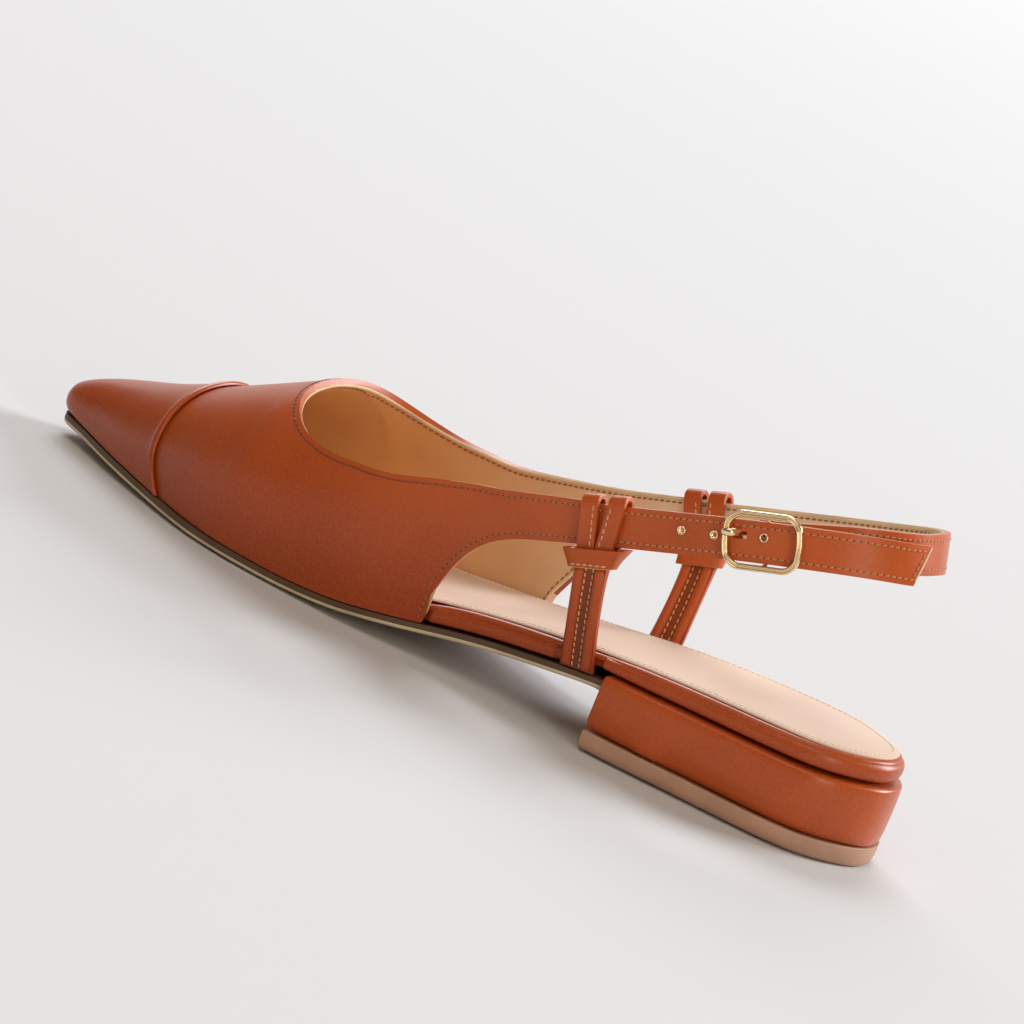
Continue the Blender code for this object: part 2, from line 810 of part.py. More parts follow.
SEAM = Table(
    "rise lateral medial",
    (0.00, 0.1930, 0.1930),
    (0.20, 0.1720, 0.1720),
    (0.45, 0.1630, 0.1630),
    (0.70, 0.1620, 0.1620),
    (1.00, 0.1665, 0.1665),
)

# distance in front of the seam and thickness over CAP_THICK, shares of CAP_ROLL
ROLL = Table(
    "back lift",
    (5.5, 0.00),
    (3.6, 0.35),
    (2.6, 0.85),
    (1.6, 1.00),
    (0.7, 0.75),
    (0.0, 0.00),
)


def make_cap():
    """Toe cap: the vamp's own form moved out, with a rolled rear edge."""
    rows = np.linspace(0.0, 1.0, ROWS + 1)
    last = float(ROLL.back[0]) * CAP_ROLL / LENGTH
    starts = [0.0, 0.12, 0.24, 0.40, 0.55, 0.70, 0.85, 1.0]
    sides = []
    for key, side in (("out", LATERAL), ("in", MEDIAL)):
        seam = soft(SEAM.rise, SEAM.lateral if side < 0 else SEAM.medial, rows)
        front = turn_of(seam - last)
        columns = []
        for part in starts:
            columns.append((front * part, 0.0))
        for back, lift in zip(ROLL.back[1:], ROLL.lift[1:]):
            columns.append((turn_of(seam - back * CAP_ROLL / LENGTH), lift))
        made = []
        for turns, lift in columns:
            base = skin(side, turns, rows)
            out = outward(side, turns, rows)
            flat = out[0] * (1.0, 1.0, 0.0)
            out[0] = flat / np.linalg.norm(flat)
            made.append((base + out * CAP_GAP, out, CAP_THICK + lift * CAP_ROLL))
        sides.append((key, made))
    verts = []
    faces = []
    index = {}
    lower = []
    edges = {}
    for key, columns in sides:
        grid = []
        for i, (pts, outs, thick) in enumerate(columns):
            ids = []
            for j in range(ROWS + 1):
                name = ("nose", j) if i == 0 else ("ridge", i) if j == ROWS else (key, i, j)
                if name not in index:
                    index[name] = len(lower)
                    lower.append((pts[j], pts[j] + outs[j] * thick))
                ids.append(index[name])
            grid.append(ids)
        for i in range(len(grid) - 1):
            for j in range(ROWS):
                loop = (grid[i][j], grid[i + 1][j], grid[i + 1][j + 1], grid[i][j + 1])
                faces.append(loop)
                for a, b in zip(loop, loop[1:] + loop[:1]):
                    edge = (min(a, b), max(a, b))
                    edges[edge] = edges.get(edge, 0) + 1
    n = len(lower)
    faces += [tuple(v + n for v in reversed(loop)) for loop in faces]
    verts = [p for p, _ in lower] + [q for _, q in lower]
    faces += [(a, b, b + n, a + n) for (a, b), count in edges.items() if count == 1]
    add("toe_cap", verts, faces, LEATHER, 0.36)


def sweep(name, centres, rights, ups, section, colour, rough, metal=0.0, closed=False):
    """Section loop carried along a line of centres with its own directions."""
    verts = []
    faces = []
    m = len(section)
    n = len(centres)
    for c, r, u in zip(centres, rights, ups):
        for a, b in section:
            verts.append(np.array(c) + np.array(r) * a + np.array(u) * b)
    for k in range(n if closed else n - 1):
        a = k * m
        b = ((k + 1) % n) * m
        for j in range(m):
            q = (j + 1) % m
            faces.append((a + j, a + q, b + q, b + j))
    if not closed:
        faces.append(tuple(range(m)))
        faces.append(tuple(range((n - 1) * m, n * m)))
    return add(name, verts, faces, colour, rough, metal)


def circle(radius, count):
    return [
        (radius * math.cos(2.0 * math.pi * k / count), radius * math.sin(2.0 * math.pi * k / count))
        for k in range(count)
    ]


# two fingers across the stay, shares of STAY_WIDTH, and how far each leans at its top
FINGERS = Table(
    "low high near far",
    (-0.50, -0.015, 0.07, -0.16),
    (0.015, 0.50, 0.34, 0.05),
)

STAY_TOP = {LATERAL: 0.6820, MEDIAL: 0.6640}
STAY_SLACK = {LATERAL: 0.0004, MEDIAL: 0.0006}
FORK_DROP = 0.0005
STAY_WAIST = 0.09
STAY_BASE = 0.0002


def spread(part):
    """How far the stay's inner layer has left its outer one, 0 at the sole to 1 at the fork."""
    return part ** 12


def crossing(side):
    """Place, forward, out and up on the collar strap where the stay holds it."""
    path = PATHS[side]
    return path.frame(path.near(STAY_TOP[side] * LENGTH))


def make_stay(name, side):
    p, along, out, up = crossing(side)
    half = STRAP_WIDTH / 2.0 + STAY_SLACK[side]
    depth = STAY_THICK + GAP + STAY_SLACK[side] / 2.0
    outer = depth
    inner = -STRAP_THICK - depth
    fork = p - up * (half + FORK_DROP)
    width = STAY_WIDTH
    cuts = [FINGERS.low[0], FINGERS.high[0], FINGERS.low[1], FINGERS.high[1]]
    verts = []
    faces = []

    def grid_ring(part):
        """4 x 4 points across the stay at a share of its rise to the fork."""
        ids = {}
        share = STAY_SHARE[side]
        narrow = 1.0 - STAY_WAIST * math.sin(math.pi * part)
        for a, cut in enumerate(cuts):
            cut = cut * narrow
            x0 = share * LENGTH + cut * width
            t0 = float(turn_of(x0 / LENGTH))
            for b in range(4):
                px, py = plan(side, t0, STAY_BASE + STAY_THICK * b / 3.0)
                low = np.array([float(px), float(py), float(feather(float(px) / LENGTH))])
                ends = (outer, outer - STAY_THICK, inner + STAY_THICK, inner)
                high = fork + along * cut * width + out * ends[b]
                q = low + (high - low) * part
                thick = spread(part)
                slim = fork + along * cut * width + out * (outer - STAY_THICK * b / 3.0)
                q2 = low + (slim - low) * part
                q = q2 + (q - q2) * thick
                bow = out * 0.0005 * math.sin(math.pi * part)
                ids[(a, b)] = len(verts)
                verts.append(q + bow)
        return ids

    loop_keys = [(0, 0), (1, 0), (2, 0), (3, 0), (3, 1), (3, 2), (3, 3), (2, 3), (1, 3), (0, 3), (0, 2), (0, 1)]
    rings = [grid_ring(v) for v in (0.0, 0.14, 0.3, 0.46, 0.62, 0.78, 0.86, 0.91, 0.955, 1.0)]
    for ra, rb in zip(rings[:-1], rings[1:]):
        for u, v in zip(loop_keys, loop_keys[1:] + loop_keys[:1]):
            faces.append((ra[u], ra[v], rb[v], rb[u]))
    for a in range(3):
        for b in range(3):
            quad = ((a, b), (a + 1, b), (a + 1, b + 1), (a, b + 1))
            faces.append(tuple(rings[0][k] for k in quad))
            if not (a in (0, 2) and b in (0, 2)):
                faces.append(tuple(rings[-1][k] for k in quad))
    top = rings[-1]
    middle = -STRAP_THICK / 2.0
    radius_in = STRAP_THICK / 2.0 + depth - STAY_THICK
    radius_out = radius_in + STAY_THICK
    span = half + FORK_DROP + half - GAP
    lean = FINGERS.near if side < 0 else FINGERS.far
    for a, shift in ((0, lean[0]), (2, lean[1])):
        ring = [top[(a, 0)], top[(a + 1, 0)], top[(a + 1, 1)], top[(a, 1)]]
        end = [top[(a, 3)], top[(a + 1, 3)], top[(a + 1, 2)], top[(a, 2)]]
        places = []
        for v in (0.33, 0.66, 1.0):
            places.append((outer, outer - STAY_THICK, v * span, 0.0))
        for k in range(1, 6):
            ang = math.pi * k / 6.0
            places.append((ang, None, span, None))
        for v in (1.0, 0.66, 0.33):
            places.append((inner, inner + STAY_THICK, v * span, 0.0))
        loops = [ring]
        for place in places:
            ids = []
            first = width * cuts[a]
            second = width * cuts[a + 1]
            if place[1] is None:
                ang = place[0]
                co = (middle + radius_out * math.cos(ang), span + radius_out * math.sin(ang))
                ci = (middle + radius_in * math.cos(ang), span + radius_in * math.sin(ang))
            else:
                co = (place[0], place[2])
                ci = (place[1], place[2])
            for w, (n_at, v_at) in ((first, co), (second, co), (second, ci), (first, ci)):
                slide = shift * width * min(1.0, v_at / span)
                ids.append(len(verts))
                verts.append(fork + along * (w + slide) + out * n_at + up * v_at)
            loops.append(ids)
        loops.append(end)
        for la, lb in zip(loops[:-1], loops[1:]):
            for j in range(4):
                q = (j + 1) % 4
                faces.append((la[j], la[q], lb[q], lb[j]))
    add(name, verts, faces, LEATHER, 0.42)
    return fork, along, out, up


def make_keeper(name, side):
    """Band round the stay under the collar strap, wider at its top."""
    p, along, out, up = crossing(side)
    half = STRAP_WIDTH / 2.0
    fork = p - up * (half + FORK_DROP)
    share = STAY_SHARE[side]
    px, py = plan(side, float(turn_of(share)), STAY_BASE)
    low = np.array([float(px), float(py), float(feather(float(px) / LENGTH))])
    axis = low - (fork + out * (STAY_THICK + GAP))
    reach = np.linalg.norm(axis)
    axis = axis / reach
    deep_out = STAY_THICK + GAP + STAY_SLACK[side] / 2.0
    deep_in = -STRAP_THICK - deep_out
    clear = GAP + 0.0006
    verts = []
    faces = []
    rings = []
    wide = 0.0023 if side < 0 else 0.0001
    drop = 0.0001 if side < 0 else 0.0010
    for level_at, part in ((0.0, 1.0), (0.55, 0.35), (1.0, 0.0)):
        flare = wide * part
        centre = fork + axis * (level_at * KEEPER_HEIGHT + drop)
        for wall in (0.0, KEEPER_THICK):
            w = STAY_WIDTH / 2.0 + GAP + 0.0003 + flare + wall
            o = deep_out + clear + wall + 0.0006 * (1.0 - level_at)
            open_to = spread(1.0 - (level_at * KEEPER_HEIGHT + drop) / reach)
            i = lerp(deep_out - STAY_THICK, deep_in, open_to) - clear - wall
            corner = 0.0009
            pts = []
            for sw, so in ((-1, 1), (1, 1), (1, -1), (-1, -1)):
                far = o if so > 0 else i
                order = [(w - corner, far), (w, far - so * corner)]
                if sw * so < 0:
                    order.reverse()
                for ww, oo in order:
                    pts.append(centre + along * sw * ww + out * oo)
            ids = list(range(len(verts), len(verts) + len(pts)))
            verts += pts
            rings.append(ids)
    inner = [rings[0], rings[2], rings[4]]
    outer = [rings[1], rings[3], rings[5]]
    m = len(inner[0])
    for stack in (inner, outer):
        for ra, rb in zip(stack[:-1], stack[1:]):
            for j in range(m):
                q = (j + 1) % m
                faces.append((ra[j], ra[q], rb[q], rb[j]))
    for a, b in ((inner[0], outer[0]), (inner[-1], outer[-1])):
        for j in range(m):
            q = (j + 1) % m
            faces.append((a[j], a[q], b[q], b[j]))
    add(name, verts, faces, LEATHER, 0.42)


BUCKLE_AT = 0.8440
BUCKLE_RAISE = 0.0003
BUCKLE_CORNER = 0.0031
BUCKLE_BOW = 0.0010


def buckle_frame():
    path = PATHS[LATERAL]
    p, along, out, up = path.frame(path.near(BUCKLE_AT * LENGTH))
    return p + up * BUCKLE_RAISE, along, out, up


def buckle_line(count):
    """Middle line of the buckle's frame, in its own plane, bowed short sides."""
    hx = BUCKLE_LONG / 2.0 - BUCKLE_WIRE / 2.0 - BUCKLE_BOW
    hy = BUCKLE_TALL / 2.0 - BUCKLE_WIRE / 2.0
    r = BUCKLE_CORNER
    pts = []
    for cx, cy, first in ((1, 1, 0.0), (-1, 1, 0.5), (-1, -1, 1.0), (1, -1, 1.5)):
        for k in range(count):
            ang = math.pi * (first + 0.5 * k / (count - 1))
            pts.append((cx * (hx - r) + r * math.cos(ang), cy * (hy - r) + r * math.sin(ang)))
    line = []
    for k, (x, y) in enumerate(pts):
        line.append((x, y))
        nx, ny = pts[(k + 1) % len(pts)]
        if abs(ny - y) > 0.003:
            for part in (0.33, 0.67):
                line.append((x + (nx - x) * part, y + (ny - y) * part))
    out = []
    for x, y in line:
        bow = BUCKLE_BOW * (1.0 - (y / hy) ** 2) * np.clip(abs(x) / hx, 0.0, 1.0) ** 4
        out.append((x + math.copysign(bow, x), y))
    return out


def eye_radius():
    return BAR_WIRE / 2.0 + EYE_GAP + EYE_WALL


def bar_depth():
    """The centre bar lies behind the outer strap end, clear of the prong's eye."""
    return -STRAP_THICK - GAP - eye_radius()


def make_buckle():
    p, along, out, up = buckle_frame()
    lift = GAP + 0.0009
    line = buckle_line(4)
    n = len(line)
    centres = []
    rights = []
    for k, (x, y) in enumerate(line):
        ax, ay = line[(k + 1) % n]
        bx, by = line[k - 1]
        tx, ty = ax - bx, ay - by
        size = math.hypot(tx, ty)
        rights.append(along * (ty / size) - up * (tx / size))
        centres.append(p + along * x + up * y + out * lift)
    half = BUCKLE_WIRE / 2.0
    section = [(a * half, b * half * 0.86) for a, b in circle(1.0, 8)]
    sweep("buckle_frame", centres, rights, [out] * n, section, GOLD, 0.25, 1.0, closed=True)
    drop = bar_depth()
    reach = BUCKLE_TALL / 2.0 - BUCKLE_WIRE / 2.0
    bar = [
        (reach + 0.0001, lift),
        (reach - 0.0002, lift - 0.0012),
        (reach - 0.0002, drop + 0.0008),
        (reach - 0.0010, drop),
        (-reach + 0.0010, drop),
        (-reach + 0.0002, drop + 0.0008),
        (-reach + 0.0002, lift - 0.0012),
        (-reach - 0.0001, lift),
    ]
    centres = [p + up * v + out * o for v, o in bar]
    ups = []
    for k in range(len(bar)):
        a = bar[min(k + 1, len(bar) - 1)]
        b = bar[max(k - 1, 0)]
        tv, to = a[0] - b[0], a[1] - b[1]
        size = math.hypot(tv, to)
        ups.append(out * (tv / size) - up * (to / size))
    section = circle(BAR_WIRE / 2.0, 8)
    ob = sweep("bar_cutter", centres, [along] * len(bar), ups, section, GOLD, 0.25, 1.0)
    hide(ob)
    fuse("buckle_frame", ob, "UNION")


def hide(ob):
    ob.hide_render = True
    ob.display_type = "WIRE"


def fuse(name, cutter, operation):
    mod = bpy.data.objects[name].modifiers.new(operation.lower(), "BOOLEAN")
    mod.operation = operation
    mod.solver = "EXACT"
    mod.object = cutter


def make_prong():
    p, along, out, up = buckle_frame()
    drop = bar_depth()
    lift = GAP + 0.0009
    half = PRONG_WIRE / 2.0
    over = lift + BUCKLE_WIRE * 0.43 + GAP + half
    ring = BAR_WIRE / 2.0 + EYE_GAP + EYE_WALL / 2.0
    tip = -BUCKLE_LONG / 2.0 + 0.0004
    line = []
    for k in range(11):
        ang = math.radians(205.0 + 24.5 * k)
        line.append((ring * math.cos(ang), drop + ring * math.sin(ang), EYE_WALL / 2.0))
    rest = drop + ring
    line.append((-0.0016, rest, EYE_WALL / 2.0))
    line.append((PRONG_HOLE + 0.0016, rest, EYE_WALL / 2.0))
    line.append((PRONG_HOLE + 0.0006, rest + 0.0006, half * 0.8))
    line.append((PRONG_HOLE - 0.0004, lift - 0.0004, half))
    line.append((PRONG_HOLE - 0.0012, over, half))
    line.append((tip + 0.0012, over, half))
    line.append((tip, over - 0.0001, half * 0.8))
    centres = [p + along * x + out * o + up * PRONG_RAISE for x, o, _ in line]
    ups = []
    for k in range(len(line)):
        a = line[min(k + 1, len(line) - 1)]
        b = line[max(k - 1, 0)]
        tx, to = a[0] - b[0], a[1] - b[1]
        size = math.hypot(tx, to)
        ups.append(out * (tx / size) - along * (to / size))
    ups = [u * (thick / half) for u, (_, _, thick) in zip(ups, line)]
    section = circle(half, 8)
    sweep("buckle_prong", centres, [up] * len(line), ups, section, GOLD, 0.25, 1.0)
    centre = p + along * (PRONG_HOLE - 0.0001) + up * PRONG_RAISE
    box_cutter("prong_slot", centre, along, out, up, 0.0018, 0.004, half + GAP)
    fuse("upper", bpy.data.objects["prong_slot"], "DIFFERENCE")


PRONG_RAISE = 0.0010
PRONG_HOLE = -0.0063


def box_cutter(name, centre, along, out, up, a, b, c):
    verts = []
    for i in (-1, 1):
        for j in (-1, 1):
            for k in (-1, 1):
                depth = b if j > 0 else -STRAP_THICK - GAP / 2.0
                verts.append(centre + along * a * i + out * depth + up * c * k)
    faces = [(0, 1, 3, 2), (4, 6, 7, 5), (0, 4, 5, 1), (2, 3, 7, 6), (0, 2, 6, 4), (1, 5, 7, 3)]
    ob = add(name, verts, faces, LEATHER, 0.5)
    hide(ob)
    return ob


# place along the strap in steps of EYELET_STEP from the buckle, and above its middle
EYELETS = Table(
    "step above",
    (-2.52, 0.0009),
    (-1.50, 0.0006),
    (0.00, 0.0013),
)


def make_eyelets():
    path = PATHS[LATERAL]
    base = path.near(BUCKLE_AT * LENGTH)
    for k in range(len(EYELETS.step)):
        p, along, out, up = path.frame(base + EYELETS.step[k] * EYELET_STEP)
        p = p + up * EYELETS.above[k]
        barrel = EYELET_HOLE + 0.0003
        depth = -STRAP_THICK * 0.5
        profile = [
            (EYELET_HOLE, depth),
            (barrel, depth),
            (barrel, 0.00008),
            (EYELET_OUT, 0.00012),
            (EYELET_OUT - 0.00015, 0.00045),
            (EYELET_OUT * 0.78, 0.00055),
            (EYELET_HOLE, 0.0003),
        ]
        m = len(profile)
        count = 12
        verts = []
        faces = []
        for q in range(count):
            ang = 2.0 * math.pi * q / count
            ray = along * math.cos(ang) + up * math.sin(ang)
            for r, h in profile:
                verts.append(p + ray * r + out * h)
        for q in range(count):
            a = q * m
            b = ((q + 1) % count) * m
            for j in range(m):
                w = (j + 1) % m
                faces.append((a + j, a + w, b + w, b + j))
        add("eyelet_%d" % (k + 1), verts, faces, GOLD, 0.25, 1.0)
        verts = []
        faces = []
        ray = barrel + 0.00015
        for h in (0.004, -STRAP_THICK - GAP / 2.0):
            for q in range(10):
                ang = 2.0 * math.pi * q / 10
                verts.append(p + (along * math.cos(ang) + up * math.sin(ang)) * ray + out * h)
        for q in range(10):
            w = (q + 1) % 10
            faces.append((q, w, w + 10, q + 10))
        faces.append(tuple(range(10)))
        faces.append(tuple(range(19, 9, -1)))
        ob = add("hole_%d" % (k + 1), verts, faces, LEATHER, 0.5)
        hide(ob)
        fuse("upper", ob, "DIFFERENCE")


PATHS = {}


def settle():
    """Stand everything on z = 0 with the middle of the bounding box at the origin."""
    seen = [ob for ob in bpy.data.objects if not ob.hide_render]
    pts = np.array([tuple(v.co) for ob in seen for v in ob.data.vertices])
    low = pts.min(axis=0)
    high = pts.max(axis=0)
    move = Vector((-(low[0] + high[0]) / 2.0, -(low[1] + high[1]) / 2.0, -low[2]))
    for ob in bpy.data.objects:
        ob.data.transform(Matrix.Translation(move))


def start():
    for ob in list(bpy.data.objects):
        bpy.data.objects.remove(ob, do_unlink=True)
    for block in (bpy.data.meshes, bpy.data.materials):
        for item in list(block):
            block.remove(item)


def main():
    start()
    make_sole()
    make_heel()
    make_bed()
    PATHS[LATERAL] = Path(BILLET, LATERAL)
    PATHS[MEDIAL] = Path(SLING, MEDIAL)
    make_upper()
    make_cap()
    for name, side in (("near", LATERAL), ("far", MEDIAL)):
        make_stay("stay_" + name, side)
        make_keeper("keeper_" + name, side)
    make_buckle()
    make_prong()
    make_eyelets()
    settle()


main()
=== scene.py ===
"""Sling back flat in smooth cognac leather: finishes, seams, lining, metal and studio."""

import math

import bmesh
import bpy
import numpy as np
from bpy.props import FloatProperty, FloatVectorProperty, PointerProperty
from mathutils import Matrix, Vector
from mathutils.bvhtree import BVHTree
from mathutils.kdtree import KDTree


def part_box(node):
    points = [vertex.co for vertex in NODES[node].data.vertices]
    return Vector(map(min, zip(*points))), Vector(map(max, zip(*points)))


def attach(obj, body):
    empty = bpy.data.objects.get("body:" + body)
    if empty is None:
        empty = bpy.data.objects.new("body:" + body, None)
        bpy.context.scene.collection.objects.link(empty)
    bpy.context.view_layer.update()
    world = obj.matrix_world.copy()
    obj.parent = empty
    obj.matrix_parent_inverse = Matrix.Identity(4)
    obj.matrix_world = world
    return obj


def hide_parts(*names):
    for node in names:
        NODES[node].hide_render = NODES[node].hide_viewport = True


bl_info = {
    "name": "Sling Back Flat",
    "version": (1, 0, 0),
    "blender": (4, 5, 0),
    "location": "View3D > Sidebar > Shoe",
    "description": "Dresses the sling back flat in leather, thread and metal",
    "category": "Object",
}

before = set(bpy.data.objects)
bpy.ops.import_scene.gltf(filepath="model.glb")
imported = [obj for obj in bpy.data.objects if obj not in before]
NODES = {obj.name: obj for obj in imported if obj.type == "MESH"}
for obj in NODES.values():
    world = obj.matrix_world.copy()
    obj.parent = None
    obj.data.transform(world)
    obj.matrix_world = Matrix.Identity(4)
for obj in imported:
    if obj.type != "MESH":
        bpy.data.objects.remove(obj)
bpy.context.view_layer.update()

# angles between faces, and places in a piece's list of materials
SHARP = math.radians(50.0)
SKIN, LINED = 0, 1
STRIP, UNDERSIDE = 1, 2
RECESS_SHADE = 1
CUT_EDGE = 1
# along rims and through walls, in metres
RIM_STEP = 0.0006
NEAR_SIDE, FAR_SIDE = 0.0006, 0.0026
LARGEST_JUMP = 0.0024
UP = Vector((0.0, 0.0, 1.0))
# small shapes that are made in one go
LOT = 24


# settings


class LeatherSettings(bpy.types.PropertyGroup):
    colour: FloatVectorProperty(
        name="Leather", description="Main colour of the leather", subtype="COLOR", size=3,
        min=0.0, max=1.0, default=(0.525, 0.096, 0.014),
    )
    # The darker tone is mixed in at random as the leather's own tone, and low on the sides as
    # painted shade.
    deep_tone_and_shade: FloatVectorProperty(
        name="Deep tone", description="Darker tone in the hollows and low on the sides",
        subtype="COLOR", size=3, min=0.0, max=1.0, default=(0.290, 0.040, 0.005),
    )
    lining: FloatVectorProperty(
        name="Lining", description="Colour of the tan lining", subtype="COLOR", size=3,
        min=0.0, max=1.0, default=(0.780, 0.390, 0.140),
    )
    facing: FloatVectorProperty(
        name="Strap lining", description="Paler lining of the wings and straps",
        subtype="COLOR", size=3, min=0.0, max=1.0, default=(0.800, 0.580, 0.380),
    )
    roughness: FloatProperty(
        name="Roughness", description="Roughness of the leather's finish",
        default=0.36, min=0.0, max=1.0,
    )
    pore: FloatProperty(
        name="Pore size", description="Distance between the pores of the grain",
        default=0.0006, unit="LENGTH",
    )


class ThreadSettings(bpy.types.PropertyGroup):
    pitch: FloatProperty(
        name="Pitch", description="Distance from stitch to stitch", default=0.0018, unit="LENGTH",
    )
    length: FloatProperty(
        name="Length", description="Length of one stitch", default=0.00145, unit="LENGTH",
    )
    thick: FloatProperty(
        name="Thickness", description="Thickness of the thread", default=0.00054, unit="LENGTH",
    )
    inset: FloatProperty(
        name="Inset", description="Distance of a seam from the edge", default=0.0015, unit="LENGTH",
    )
    slant: FloatProperty(
        name="Slant", description="Turn of each stitch from the seam's own line",
        default=0.10, unit="ROTATION",
    )
    colour: FloatVectorProperty(
        name="Thread", description="Colour of the thread on the leather", subtype="COLOR", size=3,
        min=0.0, max=1.0, default=(0.240, 0.055, 0.015),
    )
    strap: FloatVectorProperty(
        name="Strap thread", description="Colour of the thread along the straps",
        subtype="COLOR", size=3, min=0.0, max=1.0, default=(0.560, 0.210, 0.075),
    )
    pale: FloatVectorProperty(
        name="Pale thread", description="Colour of the thread on the stays and keeper",
        subtype="COLOR", size=3, min=0.0, max=1.0, default=(0.700, 0.360, 0.160),
    )


class MetalSettings(bpy.types.PropertyGroup):
    colour: FloatVectorProperty(
        name="Metal", description="Colour of the pale gold plating", subtype="COLOR", size=3,
        min=0.0, max=1.0, default=(0.900, 0.715, 0.440),
    )
    roughness: FloatProperty(
        name="Roughness", description="Roughness of the plating", default=0.18, min=0.0, max=1.0,
    )


class StudioSettings(bpy.types.PropertyGroup):
    floor: FloatVectorProperty(
        name="Floor", description="Colour of the floor", subtype="COLOR", size=3,
        min=0.0, max=1.0, default=(0.600, 0.616, 0.640),
    )
    key: FloatProperty(
        name="Key light", description="Power of the large light behind",
        default=370.0, min=0.0, unit="POWER",
    )
    fill: FloatProperty(
        name="Fill", description="Strength of the surrounding light", default=0.22, min=0.0,
    )


GROUPS = (
    ("shoe_leather", LeatherSettings),
    ("shoe_thread", ThreadSettings),
    ("shoe_metal", MetalSettings),
    ("shoe_studio", StudioSettings),
)


def settings(name):
    return getattr(bpy.context.scene, name)


# materials


class Wire:
    """A node socket that takes part in sums; an expression adds its Math nodes."""

    def __init__(self, recipe, socket):
        self.recipe = recipe
        self.socket = socket

    def math(self, operation, *others):
        values = {k + 1: other for k, other in enumerate(others)}
        values[0] = self
        return self.recipe.node("Math", {"operation": operation}, values)

    def __add__(self, other):
        return self.math("ADD", other)

    def __sub__(self, other):
        return self.math("SUBTRACT", other)

    def __mul__(self, other):
        return self.math("MULTIPLY", other)

    def __rsub__(self, other):
        return self.recipe.node("Math", {"operation": "SUBTRACT"}, {0: other, 1: self})

    __radd__ = __add__
    __rmul__ = __mul__

    def clamp(self, low, high):
        """0 below low, 1 above high, straight between."""
        inputs = {"Value": self, "From Min": low, "From Max": high}
        return self.recipe.node("MapRange", {"clamp": True}, inputs)


class Recipe:
    """One material and the nodes that make it."""

    def __init__(self, name):
        self.material = bpy.data.materials.new(name)
        self.material.use_nodes = True
        self.tree = self.material.node_tree
        self.shader = self.tree.nodes["Principled BSDF"]
        self.place = self.node("TexCoord", output="Object")

    def node(self, kind, options=None, inputs=None, output=0):
        made = self.tree.nodes.new("ShaderNode" + kind)
        for key, value in (options or {}).items():
            setattr(made, key, value)
        for key, value in (inputs or {}).items():
            self.put(made.inputs[key], value)
        return Wire(self, made.outputs[output])

    def put(self, socket, value):
        if isinstance(value, Wire):
            self.tree.links.new(value.socket, socket)
        elif isinstance(value, (tuple, list)) and len(value) == 3 and socket.type == "RGBA":
            socket.default_value = (*value, 1.0)
        else:
            socket.default_value = value

    def set(self, **values):
        for key, value in values.items():
            self.put(self.shader.inputs[key.replace("_", " ")], value)

    def noise(self, scale, detail=3.0, rough=0.5, stretch=None):
        place = self.place
        if stretch:
            place = self.node("Mapping", None, {"Vector": place, "Scale": stretch})
        inputs = {"Vector": place, "Scale": scale, "Detail": detail, "Roughness": rough}
        return self.node("TexNoise", None, inputs)

    def cells(self, scale):
        return self.node("TexVoronoi", {"feature": "F1"}, {"Vector": self.place, "Scale": scale})

    def mix(self, factor, first, second, blend="MIX"):
        options = {"data_type": "RGBA", "blend_type": blend}
        return self.node("Mix", options, {0: factor, 6: first, 7: second}, output=2)

    def bump(self, height, distance, below=None):
        inputs = {"Height": height, "Distance": distance, "Strength": 1.0}
        if below:
            inputs["Normal"] = below
        return self.node("Bump", None, inputs)


def leather(name="cognac_leather", tone=1.0, rough=0.0, low=0.8):
    """Smooth dyed calf with fine pores, soft creases and a waxed coat; its darker tone varies at
    random, and painted shade darkens it low down.
    """
    chosen = settings("shoe_leather")
    recipe = Recipe(name)
    main = tuple(c * tone for c in chosen.colour)
    deep_tone_and_shade = tuple(c * tone for c in chosen.deep_tone_and_shade)
    drift = recipe.noise(26.0, 4.0, 0.55).clamp(0.38, 0.66)
    speck = recipe.noise(1500.0, 2.0, 0.6).clamp(0.35, 0.68)
    colour = recipe.mix(drift * 0.40 + 0.08, main, deep_tone_and_shade)
    # Painted shade: below 46 mm the leather turns towards the darker tone, fully at 12 mm, as low
    # sides lie in shade; low sets how much.
    height = recipe.node("SeparateXYZ", None, {"Vector": recipe.place}, output=2)
    colour = recipe.mix(height.clamp(0.046, 0.012) * low, colour, deep_tone_and_shade)
    light = tuple(min(1.0, c * 1.22 + 0.012) for c in main)
    colour = recipe.mix(speck * 0.28, colour, light)
    pores = recipe.cells(1.0 / chosen.pore).clamp(0.0, 0.55)
    grain = recipe.noise(900.0, 3.0, 0.6)
    creases = recipe.noise(120.0, 3.0, 0.5, (1.0, 1.0, 2.2))
    normal = recipe.bump(pores, 0.000016)
    normal = recipe.bump(grain, 0.000035, normal)
    normal = recipe.bump(creases, 0.00012, normal)
    recipe.set(
        Base_Color=colour, Roughness=grain * 0.12 + (chosen.roughness + rough - 0.06),
        Coat_Weight=0.14, Coat_Roughness=0.22, Specular_IOR_Level=0.30, Normal=normal,
    )
    return recipe.material


def lining(name="tan_lining"):
    """Tan lining that turns paler towards the straps."""
    chosen = settings("shoe_leather")
    recipe = Recipe(name)
    drift = recipe.noise(40.0, 4.0, 0.6).clamp(0.3, 0.7)
    along = recipe.node("SeparateXYZ", None, {"Vector": recipe.place}).clamp(-0.045, 0.03)
    main = recipe.mix(along, tuple(chosen.lining), tuple(chosen.facing))
    colour = recipe.mix(drift * 0.4, main, (0.72, 0.70, 0.68), "MULTIPLY")
    nap = recipe.noise(1400.0, 3.0, 0.7)
    recipe.set(Base_Color=colour, Roughness=nap * 0.15 + 0.58, Normal=recipe.bump(nap, 0.00004))
    return recipe.material


def sock_leather(name="sock_leather"):
    """Pale matt leather of the insole."""
    recipe = Recipe(name)
    drift = recipe.noise(30.0, 3.0, 0.55).clamp(0.3, 0.7)
    colour = recipe.mix(drift, (0.640, 0.480, 0.390), (0.725, 0.565, 0.465))
    grain = recipe.noise(1100.0, 3.0, 0.6)
    recipe.set(
        Base_Color=colour, Roughness=grain * 0.14 + 0.56, Specular_IOR_Level=0.18,
        Normal=recipe.bump(grain, 0.00004),
    )
    return recipe.material


